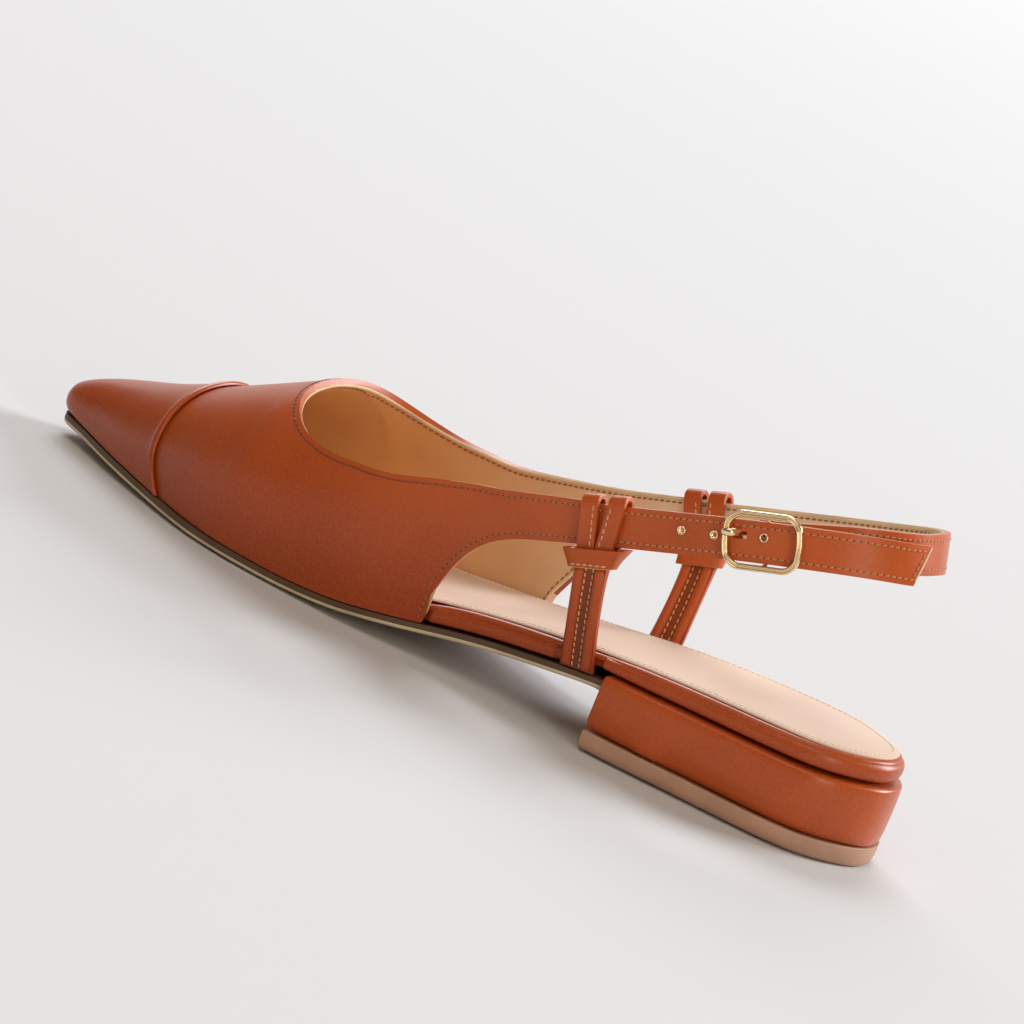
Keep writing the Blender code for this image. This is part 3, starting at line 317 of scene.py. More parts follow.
def plain(name, colour, rough, grain_scale=700.0, depth=0.00004, spread=0.18):
    """Dyed edge, rubber or thread: one tone with fine grain."""
    recipe = Recipe(name)
    drift = recipe.noise(60.0, 4.0, 0.6).clamp(0.3, 0.7)
    low = tuple(c * (1.0 - spread) for c in colour)
    high = tuple(min(1.0, c * (1.0 + spread)) for c in colour)
    grain = recipe.noise(grain_scale, 3.0, 0.6)
    recipe.set(
        Base_Color=recipe.mix(drift, low, high), Roughness=grain * 0.16 + (rough - 0.08),
        Normal=recipe.bump(grain, depth),
    )
    return recipe.material


def brown_thread(name="brown_thread"):
    """Thread that is dark on the vamp and lighter along the straps."""
    thread = settings("shoe_thread")
    recipe = Recipe(name)
    along = recipe.node("SeparateXYZ", None, {"Vector": recipe.place}).clamp(-0.02, 0.05)
    ply = recipe.noise(2600.0, 3.0, 0.6)
    colour = recipe.mix(along, tuple(thread.colour), tuple(thread.strap))
    recipe.set(Base_Color=colour, Roughness=ply * 0.16 + 0.5, Normal=recipe.bump(ply, 0.00006))
    return recipe.material


def gold(name="pale_gold"):
    """Pale gold plating with faint smears."""
    chosen = settings("shoe_metal")
    recipe = Recipe(name)
    smear = recipe.noise(300.0, 3.0, 0.6)
    recipe.set(
        Base_Color=tuple(chosen.colour), Metallic=1.0,
        Roughness=smear * 0.14 + (chosen.roughness - 0.07), Normal=recipe.bump(smear, 0.00001),
    )
    return recipe.material


# fork of each stay, its foot on the sole, and forward, outward and upward on the strap there
STAY_PLACES = {
    "near": tuple(Vector(v) for v in (
        (0.05004, -0.03731, 0.04985), (0.05267, -0.02848, 0.01793), (0.9368, -0.0359, 0.3481),
        (-0.0170, -0.9982, -0.0571), (-0.3496, -0.0475, 0.9357),
    )),
    "far": tuple(Vector(v) for v in (
        (0.04529, 0.03219, 0.04794), (0.05004, 0.02076, 0.01749), (0.9420, -0.0166, 0.3353),
        (0.0461, 0.9957, -0.0801), (-0.3325, 0.0909, 0.9387),
    )),
}
# middle of the buckle, and forward, outward and upward on the strap there
BUCKLE_PLACE = tuple(Vector(v) for v in (
    (0.09028, -0.03514, 0.07091), (0.9382, 0.1637, 0.3049), (0.1699, -0.9854, 0.0063),
    (-0.3015, -0.0459, 0.9524),
))
PALETTE = {}


def finish(key):
    """Each material is made once and shared by the pieces that wear it."""
    if key not in PALETTE:
        thread = settings("shoe_thread")

        def yarn(name, colour):
            return plain(name, colour, 0.6, 2600.0, 0.00006)

        makers = {
            "leather": leather,
            # The heel leather takes only a tenth of the painted shade low down.
            "heel": lambda: leather("heel_leather", 1.0, -0.06, 0.1),
            # The stays' sunken middle wears the same leather darkened to 0.55 as painted shade.
            "recess_shade": lambda: leather("stay_recess", 0.55, 0.08),
            "cap": lambda: leather("cap_leather", 1.0, -0.02),
            "lining": lining,
            "sock": sock_leather,
            "edge": lambda: plain("sole_edge", (0.105, 0.056, 0.028), 0.55, 900.0, 0.00008),
            "strip": lambda: plain("sole_strip", (0.620, 0.520, 0.340), 0.6),
            "top_piece": lambda: plain("top_piece", (0.480, 0.270, 0.180), 0.5, 500.0, 0.00005),
            "cut_edge": lambda: plain("cut_edge", (0.720, 0.560, 0.340), 0.7, 1200.0, 0.00005),
            "thread": brown_thread,
            "pale_thread": lambda: yarn("pale_thread", tuple(thread.pale)),
            "lining_thread": lambda: yarn("lining_thread", (0.300, 0.125, 0.050)),
            "cream_thread": lambda: yarn("cream_thread", (0.860, 0.700, 0.520)),
            # Needle holes are near-black spots of painted shade.
            "hole": lambda: plain("needle_hole_shade", (0.055, 0.014, 0.006), 0.8),
            "gold": gold,
        }
        PALETTE[key] = makers[key]()
    return PALETTE[key]


# shapes


def mesh_object(name, bm, materials):
    mesh = bpy.data.meshes.new(name)
    bm.to_mesh(mesh)
    bm.free()
    made = bpy.data.objects.new(name, mesh)
    bpy.context.scene.collection.objects.link(made)
    for key in materials:
        mesh.materials.append(finish(key))
    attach(made, "root")
    return made


def copy_of(node):
    """The node's mesh with its doubles merged and its quads joined again."""
    bm = bmesh.new()
    bm.from_mesh(NODES[node].data)
    bmesh.ops.remove_doubles(bm, verts=bm.verts[:], dist=2e-6)
    bmesh.ops.dissolve_degenerate(bm, edges=bm.edges[:], dist=1e-6)
    bmesh.ops.join_triangles(
        bm, faces=bm.faces[:], angle_face_threshold=math.radians(35.0),
        angle_shape_threshold=math.radians(60.0),
    )
    for face in bm.faces:
        face.smooth = True
    bm.faces.ensure_lookup_table()
    return bm


def patch_from(seed, limit=math.radians(48.0)):
    """Faces reached from a seed without crossing an edge sharper than limit."""
    seen = {seed}
    front = [seed]
    while front:
        face = front.pop()
        for edge in face.edges:
            if len(edge.link_faces) == 2 and edge.calc_face_angle(0.0) < limit:
                for other in edge.link_faces:
                    if other not in seen:
                        seen.add(other)
                        front.append(other)
    return seen


def rim_of(patch):
    """Longest closed chain of edges round a patch, as points in order."""
    inside = {face.index for face in patch}
    edges = [
        edge for edge in {e for f in patch for e in f.edges}
        if sum(face.index in inside for face in edge.link_faces) == 1
    ]
    links = {}
    for edge in edges:
        for a, b in (edge.verts, reversed(edge.verts)):
            links.setdefault(a, []).append(b)
    best = []
    left = set(links)
    while left:
        start = min(left, key=lambda v: v.index)
        chain = [start]
        left.discard(start)
        here = start
        while True:
            following = [v for v in links[here] if v in left]
            if not following:
                break
            here = min(following, key=lambda v: v.index)
            left.discard(here)
            chain.append(here)
        if len(chain) > len(best):
            best = chain
    return [vert.co.copy() for vert in best]


def soften(made, width, segments=3, levels=1, marked=False):
    """Rounded edges, the marked ones or all sharp ones, then one smooth surface."""
    if width:
        bevel = made.modifiers.new("edges", "BEVEL")
        bevel.width = width
        bevel.segments = segments
        bevel.limit_method = "WEIGHT" if marked else "ANGLE"
        bevel.angle_limit = SHARP
    if levels:
        smooth = made.modifiers.new("surface", "SUBSURF")
        smooth.levels = levels
        smooth.render_levels = levels
    return made


def mark_sharp(bm):
    """Marks the sharp edges for the bevel."""
    layer = bm.edges.layers.float.new("bevel_weight_edge")
    for edge in bm.edges:
        if len(edge.link_faces) == 2 and edge.calc_face_angle(0.0) > SHARP:
            edge[layer] = 1.0


def smooth_within(bm, index, times):
    """Evens out the vertices that only faces of one material share."""
    verts = [
        v for v in bm.verts if v.link_faces and all(f.material_index == index for f in v.link_faces)
    ]
    for _ in range(times):
        bmesh.ops.smooth_vert(
            bm, verts=verts, factor=0.5, use_axis_x=True, use_axis_y=True, use_axis_z=True,
        )


def dressed(node, name, materials, width=0.0004, segments=3, levels=1):
    """A smooth piece in the place of a node."""
    bm = copy_of(node)
    made = mesh_object(name, bm, materials)
    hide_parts(node)
    return soften(made, width, segments, levels)


def resample(points, step, closed=False):
    """Points at an even step along a chain."""
    pts = np.array([tuple(p) for p in points])
    if closed:
        pts = np.vstack([pts, pts[:1]])
    run = np.concatenate([[0.0], np.cumsum(np.linalg.norm(np.diff(pts, axis=0), axis=1))])
    count = max(2, int(round(run[-1] / step)) + 1)
    at = np.linspace(0.0, run[-1], count)
    return np.stack([np.interp(at, run, pts[:, k]) for k in range(3)], -1)


def tree_of(faces):
    """Tree of some faces of a bmesh, to look up the nearest point."""
    verts = []
    polygons = []
    for face in faces:
        polygons.append(tuple(range(len(verts), len(verts) + len(face.verts))))
        verts += [v.co.copy() for v in face.verts]
    return BVHTree.FromPolygons(verts, polygons)


def node_tree(node):
    mesh = NODES[node].data
    verts = [v.co.copy() for v in mesh.vertices]
    return BVHTree.FromPolygons(verts, [tuple(p.vertices) for p in mesh.polygons])


def surface_tree(made, keep=None):
    """Tree of the finished surface, so that thread lies on what shows."""
    graph = bpy.context.evaluated_depsgraph_get()
    mesh = made.evaluated_get(graph).to_mesh()
    verts = [v.co.copy() for v in mesh.vertices]
    polygons = [tuple(p.vertices) for p in mesh.polygons if keep is None or keep(p)]
    return BVHTree.FromPolygons(verts, polygons)


def seam_runs(rim, patch_tree, shown_tree, inset, blocked=None):
    """Lines of (point, normal) on the shown surface at a distance inside a patch's rim."""
    pts = resample(rim, RIM_STEP, closed=True)[:-1]
    reach = RIM_STEP * 4.0
    count = len(pts)
    kd = KDTree(count)
    for k, point in enumerate(pts):
        kd.insert(point, k)
    kd.balance()
    runs = [[]]
    kept = []
    for k in range(count):
        here = Vector(pts[k])
        along = (Vector(pts[(k + 2) % count]) - Vector(pts[k - 2])).normalized()
        normal = patch_tree.find_nearest(here)[1]
        spots = []
        for sign in (-1.0, 1.0):
            across = normal.cross(along).normalized() * sign
            spots.append(patch_tree.find_nearest(here + across * inset)[0])
        inner = max(spots, key=lambda spot: (spot - here).length)
        clear = kd.find(inner)[2] > inset * 0.86 and not (blocked and blocked(inner))
        kept.append(clear)
        if runs[-1] and not (clear and (inner - runs[-1][-1][0]).length < reach):
            runs.append([])
        if clear:
            spot, facing, _, _ = shown_tree.find_nearest(inner)
            runs[-1].append((spot, facing))
    meet = len(runs) > 1 and kept[0] and kept[-1]
    if meet and (runs[-1][-1][0] - runs[0][0][0]).length < reach:
        runs[0] = runs.pop() + runs[0]
    return [evened(run, shown_tree) for run in runs if len(run) > 5]


def evened(run, tree=None, times=6):
    """The run without small jumps, laid back on the surface where one is given."""
    pts = np.array([tuple(p) for p, _ in run])
    ups = np.array([tuple(n) for _, n in run])
    for _ in range(times):
        for values in (pts, ups):
            values[1:-1] = (values[:-2] + 2.0 * values[1:-1] + values[2:]) / 4.0
    made = []
    for spot, up in zip(pts, ups):
        spot = Vector(spot)
        made.append((tree.find_nearest(spot)[0] if tree else spot, Vector(up).normalized()))
    return made


def through(tree, runs):
    """The same lines on the far side of a wall."""
    cast = []
    for run in runs:
        part = []
        for spot, normal in run:
            landed, facing, _, away = tree.ray_cast(spot - normal * NEAR_SIDE, -normal, FAR_SIDE)
            follows = landed and (not part or (landed - part[-1][0]).length < LARGEST_JUMP)
            if follows and away > NEAR_SIDE:
                part.append((landed, facing))
            elif part:
                cast.append(part)
                part = []
        cast.append(part)
    whole = joined(part for part in cast if len(part) > 4)
    return [evened(part) for part in whole if len(part) > 9]


def joined(parts, reach=0.0045):
    """Parts whose ends nearly meet become one; a ring is closed."""
    whole = []
    for part in parts:
        if whole and (part[0][0] - whole[-1][-1][0]).length < reach:
            whole[-1] += part
        else:
            whole.append(part)
    if len(whole) > 1 and (whole[-1][-1][0] - whole[0][0][0]).length < reach:
        whole[0] = whole.pop() + whole[0]
    for part in whole:
        if (part[-1][0] - part[0][0]).length < reach:
            part += part[:3]
    return whole


def cast_line(tree, start, end, towards, count=40):
    """Points with normals where rays along a direction meet the surface between two places."""
    run = []
    for k in range(count):
        origin = start.lerp(end, k / (count - 1.0)) - towards * 0.02
        spot, facing, _, _ = tree.ray_cast(origin, towards)
        if spot:
            run.append((spot, facing))
    return run


def along_run(run, pitch, first=0.5):
    """Place, way ahead and upward direction at an even pitch along a run of (point, normal)."""
    pts = np.array([tuple(p) for p, _ in run])
    ups = np.array([tuple(n) for _, n in run])
    walk = np.concatenate([[0.0], np.cumsum(np.linalg.norm(np.diff(pts, axis=0), axis=1))])

    def at(values, s):
        return Vector([float(np.interp(s, walk, values[:, j])) for j in range(3)])

    places = []
    for k in range(int(walk[-1] / pitch + 1.0 - first)):
        s = (k + first) * pitch
        ahead = at(pts, s + pitch * 0.3) - at(pts, s - pitch * 0.3)
        if ahead.length > pitch * 0.3:
            places.append((at(pts, s), ahead.normalized(), at(ups, s)))
    return places


def scattered(name, places, shape, key):
    """One mesh of many small closed shapes, gathered in short lots."""
    whole = bmesh.new()
    for first in range(0, len(places), LOT):
        lot = bmesh.new()
        for place in places[first:first + LOT]:
            shape(lot, place)
        for face in lot.faces:
            face.smooth = True
        mesh = bpy.data.meshes.new(name)
        lot.to_mesh(mesh)
        lot.free()
        whole.from_mesh(mesh)
        bpy.data.meshes.remove(mesh)
    return mesh_object(name, whole, (key,))


def turned(ahead, up):
    """Turn that puts X ahead and Z up."""
    side = up.cross(ahead).normalized()
    return Matrix((ahead, side, ahead.cross(side))).transposed().to_4x4()


def stitches(name, runs, key, lift=0.00002, pitch=None, length=None, thick=None):
    """Threads along runs of (point, normal); each one dips into its holes."""
    thread = settings("shoe_thread")
    thick = thick or thread.thick
    size = Matrix.Diagonal(((length or thread.length) / 2.0, thick / 2.0, thick * 0.42, 1.0))
    lying = Matrix.Rotation(thread.slant, 4, "Z") @ size @ Matrix.Rotation(math.pi / 2.0, 4, "Y")
    places = []
    for run in runs:
        for spot, ahead, up in along_run(run, pitch or thread.pitch):
            places.append(Matrix.Translation(spot + up * lift) @ turned(ahead, up) @ lying)

    def shape(bm, place):
        bmesh.ops.create_uvsphere(bm, u_segments=8, v_segments=5, radius=1.0, matrix=place)

    return scattered(name, places, shape, key)


def holes(name, runs):
    """Dark spots of painted shade at the needle holes between the stitches."""
    size = Matrix.Diagonal((0.00022, 0.00022, 0.00006, 1.0))
    places = []
    for run in runs:
        for spot, ahead, up in along_run(run, settings("shoe_thread").pitch, 0.0):
            places.append(Matrix.Translation(spot) @ turned(ahead, up) @ size)

    def shape(bm, place):
        bmesh.ops.create_icosphere(bm, subdivisions=1, radius=1.0, matrix=place)

    return scattered(name, places, shape, "hole")


def cord(bm, run, half_width, half_height, sink=0.0, sides=10, closed=False):
    """Closed oval cord along a run of (point, normal)."""
    rings = []
    count = len(run)
    for k, (point, up) in enumerate(run):
        if closed:
            ahead = (run[(k + 1) % count][0] - run[k - 1][0]).normalized()
        else:
            ahead = (run[min(k + 1, count - 1)][0] - run[max(k - 1, 0)][0]).normalized()
        side = Vector(up).cross(ahead).normalized()
        above = ahead.cross(side)
        turn = Matrix((side, above, ahead)).transposed().to_4x4()
        end = 0.45 if k in (0, count - 1) and not closed else 1.0
        size = Matrix.Diagonal((half_width * end, half_height * end, 1.0, 1.0))
        place = Matrix.Translation(Vector(point) - above * sink) @ turn @ size
        rings.append(bmesh.ops.create_circle(bm, segments=sides, radius=1.0, matrix=place)["verts"])
    hoops = [list({edge for vert in ring for edge in vert.link_edges}) for ring in rings]
    pairs = list(zip(hoops[:-1], hoops[1:]))
    if closed:
        pairs.append((hoops[-1], hoops[0]))
    for first, second in pairs:
        bmesh.ops.bridge_loops(bm, edges=first + second)
    if not closed:
        for ring in (rings[0], rings[-1]):
            bm.faces.new(ring)
    bmesh.ops.recalc_face_normals(bm, faces=bm.faces[:])
    for face in bm.faces:
        face.smooth = True


def beads(name, runs, half_width, half_height, key, sink=0.0, sides=10):
    """One mesh of cords along runs."""
    whole = bmesh.new()
    for run in runs:
        if len(run) > 3:
            part = bmesh.new()
            cord(part, run, half_width, half_height, sink, sides)
            mesh = bpy.data.meshes.new(name)
            part.to_mesh(mesh)
            part.free()
            whole.from_mesh(mesh)
            bpy.data.meshes.remove(mesh)
    return mesh_object(name, whole, (key,))


# pieces


class SHOE_OT_sole(bpy.types.Operator):
    """Thin sole with a dark edge over a pale strip"""

    bl_idname = "shoe.sole"
    bl_label = "Sole"
    inside, strip_height = 0.0015, 0.00145

    def execute(self, context):
        bm = copy_of("outsole")
        sides = [f for f in bm.faces if abs(f.normal.z) < 0.5]
        rising = []
        for edge in {e for f in sides for e in f.edges}:
            way = edge.verts[0].co - edge.verts[1].co
            if abs(way.z) > way.length * 0.6:
                rising.append(edge)
        bmesh.ops.subdivide_edges(bm, edges=rising, cuts=2, use_grid_fill=True)
        below = node_tree("outsole")
        for face in bm.faces:
            if face.normal.z < -0.9:
                face.material_index = UNDERSIDE
            elif face.normal.z < -0.35:
                face.material_index = STRIP
            elif abs(face.normal.z) < 0.5:
                under = face.calc_center_median() - face.normal * self.inside
                spot = below.ray_cast(under, -UP)[0]
                if spot and under.z - spot.z < self.strip_height:
                    face.material_index = STRIP
        made = mesh_object("sole", bm, ("edge", "strip", "top_piece"))
        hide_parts("outsole")
        soften(made, 0.00025, 2, 1)
        return {"FINISHED"}


class SHOE_OT_heel(bpy.types.Operator):
    """Leather-covered heel block and its top piece"""

    bl_idname = "shoe.heel"
    bl_label = "Heel"

    def execute(self, context):
        dressed("heel_block", "heel_cover", ("heel",), 0.0007, 3, 1)
        dressed("heel_top_piece", "heel_tip", ("top_piece",), 0.0003, 2, 1)
        return {"FINISHED"}


class SHOE_OT_bed(bpy.types.Operator):
    """Footbed with a wrapped edge and its sock"""

    bl_idname = "shoe.bed"
    bl_label = "Footbed"

    def execute(self, context):
        wrap = dressed("footbed", "footbed_wrap", ("leather",), 0.0, 2, 2)
        bm = copy_of("insole_sock")
        seed = max(bm.faces, key=lambda f: f.normal.z * f.calc_area())
        top = patch_from(seed, math.radians(20.0))
        rim = rim_of(top)
        top_tree = tree_of(top)
        made = mesh_object("sock_sheet", bm, ("sock",))
        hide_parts("insole_sock")
        soften(made, 0.00025, 2, 1)
        runs = seam_runs(rim, top_tree, surface_tree(made), 0.0015)
        stitches(
            "sock_seam", runs, "cream_thread",
            lift=0.00005, pitch=0.0017, length=0.0013, thick=0.0004,
        )
        self.piping(rim, wrap)
        return {"FINISHED"}

    def piping(self, rim, wrap):
        """Round wrapped edge of the footbed beside the sock, where the upper leaves it open."""
        step, beside, foremost, tilt = 0.0016, 0.00125, -0.004, 0.3
        middle = Vector((0.06, 0.0, 0.0))
        tree = surface_tree(wrap)
        pts = resample(rim, step, closed=True)[:-1]
        count = len(pts)
        run = []
        for k in range(count):
            here = Vector(pts[k])
            ahead = (Vector(pts[(k + 1) % count]) - Vector(pts[k - 1])).normalized()
            aside = Vector((ahead.y, -ahead.x, 0.0)).normalized()
            if aside.dot(here - middle) < 0.0:
                aside = -aside
            spot = here + aside * beside
            landed = tree.ray_cast(spot + UP * 0.01, -UP)[0]
            if landed and here.x > foremost:
                run.append((Vector((spot.x, spot.y, landed.z)), (UP + aside * tilt).normalized()))
        gap = max(range(len(run)), key=lambda k: (run[k][0] - run[k - 1][0]).length)
        run = evened(run[gap:] + run[:gap], times=24)
        beads(
            "footbed_piping", [run], 0.00125, 0.00085, "leather",
            sink=0.00010, sides=14,
        )


class SHOE_OT_upper(bpy.types.Operator):
    """Vamp and heel strap with their lining, seams and cut edges"""

    bl_idname = "shoe.upper"
    bl_label = "Upper"
    above_sole = 0.0016
    # the outer strap's end: least x, greatest y, middle height and reach from it
    tail = (0.1135, -0.002, 0.075, 0.0085)
    cut_inset, tail_inset = 0.00045, 0.00022

    def execute(self, context):
        bm = copy_of("upper")
        outer = patch_from(min(bm.faces, key=lambda f: f.calc_center_median().y))
        outer_rim = rim_of(outer)
        outer_tree = tree_of(outer)
        for face in bm.faces:
            spot = face.calc_center_median()
            facing = outer_tree.find_nearest(spot)[1]
            if face not in outer and face.normal.dot(facing) < -0.3:
                face.material_index = LINED
        smooth_within(bm, LINED, 8)
        mark_sharp(bm)
        made = mesh_object("vamp_and_strap", bm, ("leather", "lining"))
        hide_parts("upper")
        soften(made, 0.0005, 3, 1, marked=True)
        shown = surface_tree(made, lambda p: p.material_index == SKIN)
        within = surface_tree(made, lambda p: p.material_index == LINED)
        sole = node_tree("outsole")
        thread = settings("shoe_thread")

        def low(spot):
            return sole.find_nearest(spot)[3] < self.above_sole

        def off_tail(spot):
            start, inner, height, reach = self.tail
            return spot.x < start or spot.y > inner or abs(spot.z - height) > reach

        runs = seam_runs(outer_rim, outer_tree, shown, thread.inset, low)
        stitches("upper_seam", runs, "thread", lift=0.00003)
        # painted shade at the needle holes
        holes("upper_needle_holes", runs)
        stitches("lining_seam", through(within, runs), "lining_thread", lift=0.00003)
        runs = seam_runs(outer_rim, outer_tree, shown, self.cut_inset, low)
        rows = [run[::2] for run in through(within, runs)]
        beads("lining_edge", rows, 0.00050, 0.00036, "cut_edge")
        runs = seam_runs(outer_rim, outer_tree, shown, self.tail_inset, off_tail)
        beads("tail_edge", self.slanted(runs), 0.00030, 0.00024, "cut_edge")
        return {"FINISHED"}

    def slanted(self, runs):
        """The parts of the runs that climb steeply: the cut end of the outer strap."""
        kept = []
        for run in runs:
            part = []
            for a, b in zip(run[:-1], run[1:]):
                way = b[0] - a[0]
                if way.length > 1e-6 and abs(way.normalized().z) > 0.72:
                    part.append(a)
            if len(part) > 5:
                kept.append(part)
        return kept


class SHOE_OT_cap(bpy.types.Operator):
    """Toe cap with its rolled rear edge"""

    bl_idname = "shoe.cap"
    bl_label = "Toe cap"

    def execute(self, context):
        dressed("toe_cap", "cap", ("cap",), 0.0002, 2, 2)
        return {"FINISHED"}


class SHOE_OT_stays(bpy.types.Operator):
    """Stays with their loops and keepers"""

    bl_idname = "shoe.stays"
    bl_label = "Stays"
    # from a stay's middle line to its rolled edges and its seams, and where these end
    roll_offset, seam_offset = 0.00300, 0.00112
    foot, top = 0.012, 0.85
    # How far below the fork, and how squarely facing out, lie the faces that get painted shade.
    recess_below, recess_facing = 0.003, 0.7

    def execute(self, context):
        for side, (fork, low, along, out, up) in STAY_PLACES.items():
            bm = copy_of("stay_" + side)
            # The strip's outward faces below the fork, seen between the rolls, get the darker
            # leather: painted shade.
            for face in bm.faces:
                below = (face.calc_center_median() - fork).dot(up) < -self.recess_below
                if below and abs(face.normal.dot(out)) > self.recess_facing:
                    face.material_index = RECESS_SHADE
            strip = mesh_object("stay_leather_" + side, bm, ("leather", "recess_shade"))
            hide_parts("stay_" + side)
            soften(strip, 0.00045, 3, 1)
            self.keeper(side, fork, low, along, out)
            tree = surface_tree(strip)
            rolls = []
            seams = []
            across = (along - Vector((0.0, 0.0, along.z)) * 0.6).normalized()
            start = low.lerp(fork, self.foot)
            end = low.lerp(fork, self.top)
            for facing in (out, -out):
                for sign in (-1.0, 1.0):
                    for offset, lines in ((self.roll_offset, rolls), (self.seam_offset, seams)):
                        first = start + across * offset * sign + facing * 0.006
                        last = end + along * offset * sign + facing * 0.006
                        lines.append(cast_line(tree, first, last, -facing))
            beads(
                "stay_rolls_" + side, rolls, 0.00150, 0.00150, "leather",
                sink=0.00040, sides=14,
            )
            stitches("stay_seams_" + side, seams, "pale_thread", lift=0.00006)
            loops = self.loops(tree, fork, along, out, up) + self.loops(tree, fork, along, -out, up)
            stitches("loop_seams_" + side, loops, "pale_thread", lift=0.00004)
        return {"FINISHED"}

    def loops(self, tree, fork, along, facing, up):
        """Seam lines beside the slit between the two loops, on one face."""
        first_row, row_step, rows = 0.0006, 0.00044, 26
        columns = [-0.0030 + 0.00015 * k for k in range(44)]
        slit, widest, beside = (-0.0002, 0.0002), 0.0016, 0.0012
        depth = 0.012
        deepest = depth + 0.0006
        runs = ([], [])
        for k in range(rows):
            base = fork + up * (first_row + row_step * k) + facing * depth
            gaps = []
            for t in columns:
                hit = tree.ray_cast(base + along * t, -facing)
                if hit[0] is None or hit[3] > deepest:
                    gaps.append(t)
            inside = [t for t in gaps if abs(t - sum(slit) / 2.0) < widest]
            if inside:
                slit = (min(inside), max(inside))
            for run, t in zip(runs, (slit[0] - beside, slit[1] + beside)):
                spot, normal, _, away = tree.ray_cast(base + along * t, -facing)
                if spot and away < deepest:
                    run.append((spot, normal))
        return list(runs)

    def keeper(self, side, fork, low, along, out):
        """Band under the strap, with its cut lower edge and, in front, its seam."""
        down = (low - fork).normalized()
        bm = copy_of("keeper_" + side)
        for face in bm.faces:
            if face.normal.dot(down) > 0.75:
                face.material_index = CUT_EDGE
        made = mesh_object("keeper_leather_" + side, bm, ("leather", "cut_edge"))
        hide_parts("keeper_" + side)
        soften(made, 0.0003, 3, 1)
        if side == "near":
            middle = fork + down * 0.0041 + out * 0.004
            half = along * 0.0054
            run = cast_line(surface_tree(made), middle - half, middle + half, -out)
            stitches("keeper_seam", [run], "pale_thread", lift=0.00004)


class SHOE_OT_metal(bpy.types.Operator):
    """Buckle, prong and eyelets"""

    bl_idname = "shoe.metal"
    bl_label = "Metal"
    # half length, half height, corner, bow of the ends, and lift off the strap
    ring_sizes = (0.00865, 0.00665, 0.0031, 0.0010, 0.0012)
    # offset, half width and half height of the two ridges and the groove between them
    ridges = (
        (-0.00043, 0.00040, 0.00080), (0.00043, 0.00040, 0.00080), (0.0, 0.00055, 0.00042),
    )
    # height and depth of the points that the bar behind the strap follows
    bar_points = (
        (0.0066, 0.0012), (0.0065, 0.0002), (0.0065, -0.0022), (0.0060, -0.0031),
        (0.0050, -0.0033), (-0.0050, -0.0033), (-0.0060, -0.0031), (-0.0065, -0.0022),
        (-0.0065, 0.0002), (-0.0066, 0.0012),
    )
    bar_radius = 0.00058
    prong_widening = 0.7

    def execute(self, context):
        self.ring()
        middle, _, _, up = BUCKLE_PLACE
        bm = copy_of("buckle_prong")
        for vert in bm.verts:
            vert.co += up * (vert.co - middle).dot(up) * self.prong_widening
        made = mesh_object("prong", bm, ("gold",))
        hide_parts("buckle_prong")
        soften(made, 0.0, 2, 1)
        for k in (1, 2, 3):
            dressed("eyelet_%d" % k, "eyelet_ring_%d" % k, ("gold",), 0.0, 2, 1)
        return {"FINISHED"}

    def ring(self):
        """Rounded frame with two ridges, and the bar behind it."""
        middle, along, out, up = BUCKLE_PLACE
        half_long, half_tall, corner, bow, lift = self.ring_sizes
        line = []
        for cx, cy, first in ((1, 1, 0.0), (-1, 1, 0.5), (-1, -1, 1.0), (1, -1, 1.5)):
            for k in range(9):
                turn = math.pi * (first + 0.5 * k / 8.0)
                line.append((cx * (half_long - corner) + corner * math.cos(turn),
                             cy * (half_tall - corner) + corner * math.sin(turn)))
        flat = resample([(x, y, 0.0) for x, y in line], 0.0007, closed=True)[:-1]
        bowed = []
        for x, y, _ in flat:
            swell = bow * (1.0 - (y / half_tall) ** 2) * min(1.0, abs(x) / half_long) ** 4
            bowed.append(Vector((x + math.copysign(swell, x), y, 0.0)))
        count = len(bowed)
        whole = bmesh.new()
        for offset, wide, tall in self.ridges:
            rail = []
            for k in range(count):
                way = (bowed[(k + 1) % count] - bowed[k - 1]).normalized()
                spot = bowed[k] + Vector((way.y, -way.x, 0.0)) * offset
                rail.append((middle + along * spot.x + up * spot.y + out * lift, out))
            cord(whole, rail, wide, tall, sides=12, closed=True)
        bar = [
            (middle + up * height + out * depth, along) for height, depth in self.bar_points
        ]
        cord(whole, bar, self.bar_radius, self.bar_radius, sides=12)
        made = mesh_object("buckle_ring", whole, ("gold",))
        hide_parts("buckle_frame")


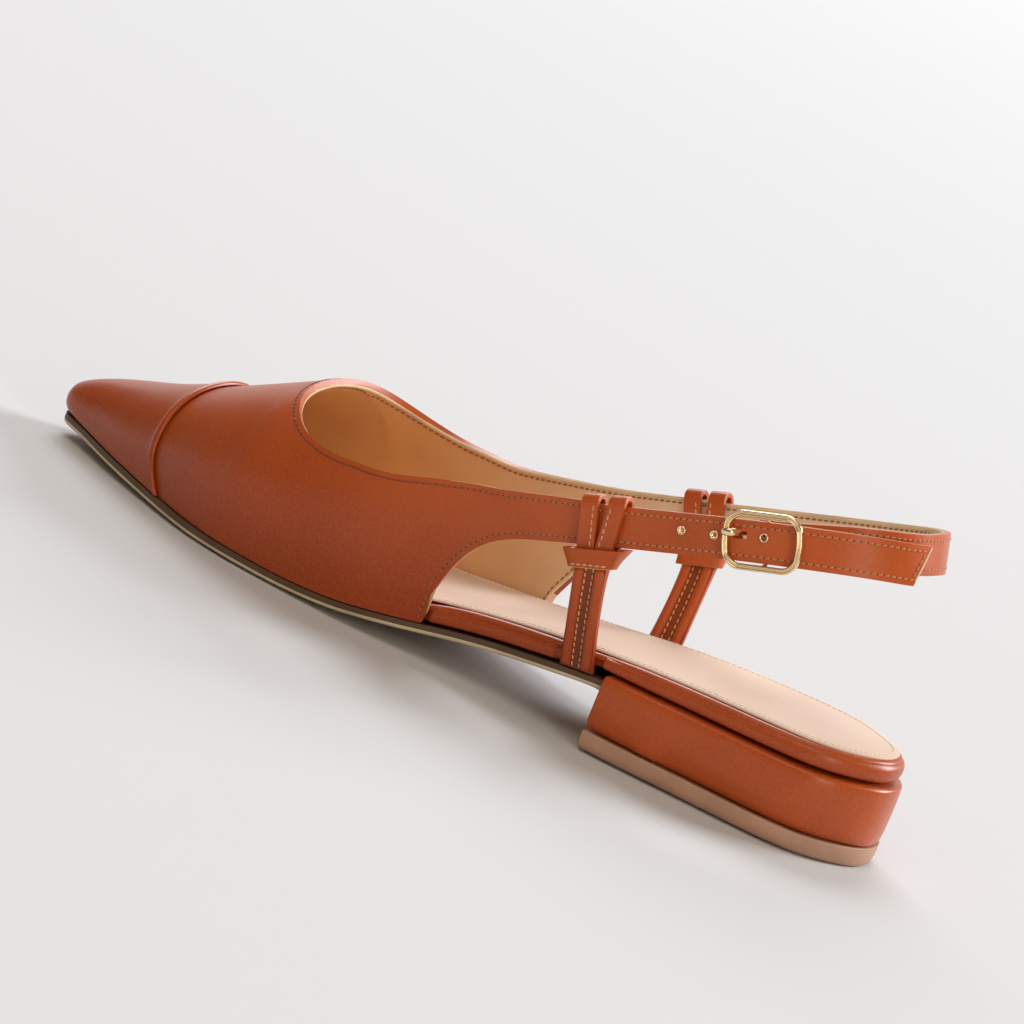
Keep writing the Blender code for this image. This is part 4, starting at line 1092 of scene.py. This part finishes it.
class SHOE_OT_studio(bpy.types.Operator):
    """Pale floor, soft light and the camera"""

    bl_idname = "shoe.studio"
    bl_label = "Studio"
    surround = (1.0, 0.80, 0.62, 1.0)
    cool, warm = (0.97, 0.98, 1.0), (1.0, 0.90, 0.78)
    # share of the key light's power, width, height, place and colour
    lights = (
        ("key", 1.0, 2.9, 2.9, (3.36, 4.80, 2.80), cool),
        ("sheen", 0.90, 4.0, 4.0, (-3.04, 4.00, 4.64), cool),
        ("side", 0.050, 1.0, 1.0, (2.20, -1.40, 0.80), warm),
        ("above", 0.100, 2.5, 2.5, (0.30, -1.70, 3.20), warm),
        ("backdrop", 0.04, 6.0, 1.5, (-1.55, 3.50, 0.76), cool),
    )
    # what the lights face, and the frame's middle from the toe's tip
    aim = (0.0, 0.0, 0.03)
    middle = (0.13544, 0.0, 0.03888)

    def execute(self, context):
        chosen = settings("shoe_studio")
        bm = bmesh.new()
        bmesh.ops.create_grid(bm, x_segments=2, y_segments=2, size=8.0)
        mesh = bpy.data.meshes.new("floor")
        bm.to_mesh(mesh)
        bm.free()
        floor = bpy.data.objects.new("floor", mesh)
        context.scene.collection.objects.link(floor)
        recipe = Recipe("floor")
        recipe.set(Base_Color=tuple(chosen.floor), Roughness=0.9)
        mesh.materials.append(recipe.material)
        world = bpy.data.worlds.new("studio")
        world.use_nodes = True
        background = world.node_tree.nodes["Background"]
        background.inputs["Color"].default_value = self.surround
        background.inputs["Strength"].default_value = chosen.fill
        context.scene.world = world
        context.scene.view_settings.view_transform = "Standard"
        for name, share, wide, tall, spot, tint in self.lights:
            light = bpy.data.lights.new(name, "AREA")
            light.shape = "RECTANGLE"
            light.energy = chosen.key * share
            light.color = tint
            light.size = wide
            light.size_y = tall
            holder = bpy.data.objects.new(name, light)
            context.scene.collection.objects.link(holder)
            holder.location = spot
            way = Vector(self.aim) - Vector(spot)
            holder.rotation_euler = way.to_track_quat("-Z", "Y").to_euler()
        self.camera(context)
        return {"FINISHED"}

    def camera(self, context):
        """The photograph's angle: 26.5 degrees round, 12 above and rolled by 22."""
        turn, rise, roll = 0.46319, 0.20937, -0.38654
        away, sensor, picture, pixels_per_mm = 1.65086, 36.0, 1024.0, 3.87637
        tip_inward = 0.03583
        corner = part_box("outsole")[0]
        tip = Vector((corner.x, corner.y + tip_inward, 0.0))
        flat = math.cos(rise)
        back = Vector((math.sin(turn) * flat, -math.cos(turn) * flat, math.sin(rise)))
        level = Vector((math.cos(turn), math.sin(turn), 0.0))
        up = back.cross(level)
        right = level * math.cos(roll) - up * math.sin(roll)
        above = level * math.sin(roll) + up * math.cos(roll)
        lens = bpy.data.cameras.new("camera")
        lens.sensor_width = sensor
        lens.lens = sensor * pixels_per_mm * away * 1000.0 / picture
        lens.clip_start = 0.05
        lens.clip_end = 30.0
        camera = bpy.data.objects.new("camera", lens)
        context.scene.collection.objects.link(camera)
        place = tip + Vector(self.middle) + back * away
        facing = Matrix((right, above, back)).transposed().to_4x4()
        camera.matrix_world = Matrix.Translation(place) @ facing
        context.scene.camera = camera


OPERATORS = (
    SHOE_OT_studio, SHOE_OT_sole, SHOE_OT_heel, SHOE_OT_bed, SHOE_OT_upper, SHOE_OT_cap,
    SHOE_OT_stays, SHOE_OT_metal,
)


class SHOE_PT_panel(bpy.types.Panel):
    bl_label = "Sling back flat"
    bl_idname = "SHOE_PT_panel"
    bl_space_type = "VIEW_3D"
    bl_region_type = "UI"
    bl_category = "Shoe"

    def draw(self, context):
        for name, _ in GROUPS:
            chosen = getattr(context.scene, name)
            box = self.layout.box()
            for key in chosen.bl_rna.properties.keys():
                if key not in ("rna_type", "name"):
                    box.prop(chosen, key)
        for operator in OPERATORS:
            self.layout.operator(operator.bl_idname)


def register():
    for name, group in GROUPS:
        bpy.utils.register_class(group)
        setattr(bpy.types.Scene, name, PointerProperty(type=group))
    for operator in OPERATORS:
        bpy.utils.register_class(operator)
    bpy.utils.register_class(SHOE_PT_panel)


def unregister():
    bpy.utils.unregister_class(SHOE_PT_panel)
    for operator in reversed(OPERATORS):
        bpy.utils.unregister_class(operator)
    for name, group in reversed(GROUPS):
        delattr(bpy.types.Scene, name)
        bpy.utils.unregister_class(group)


def main():
    register()
    for operator in OPERATORS:
        group, name = operator.bl_idname.split(".")
        getattr(getattr(bpy.ops, group), name)()
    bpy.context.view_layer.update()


if __name__ == "__main__":
    main()
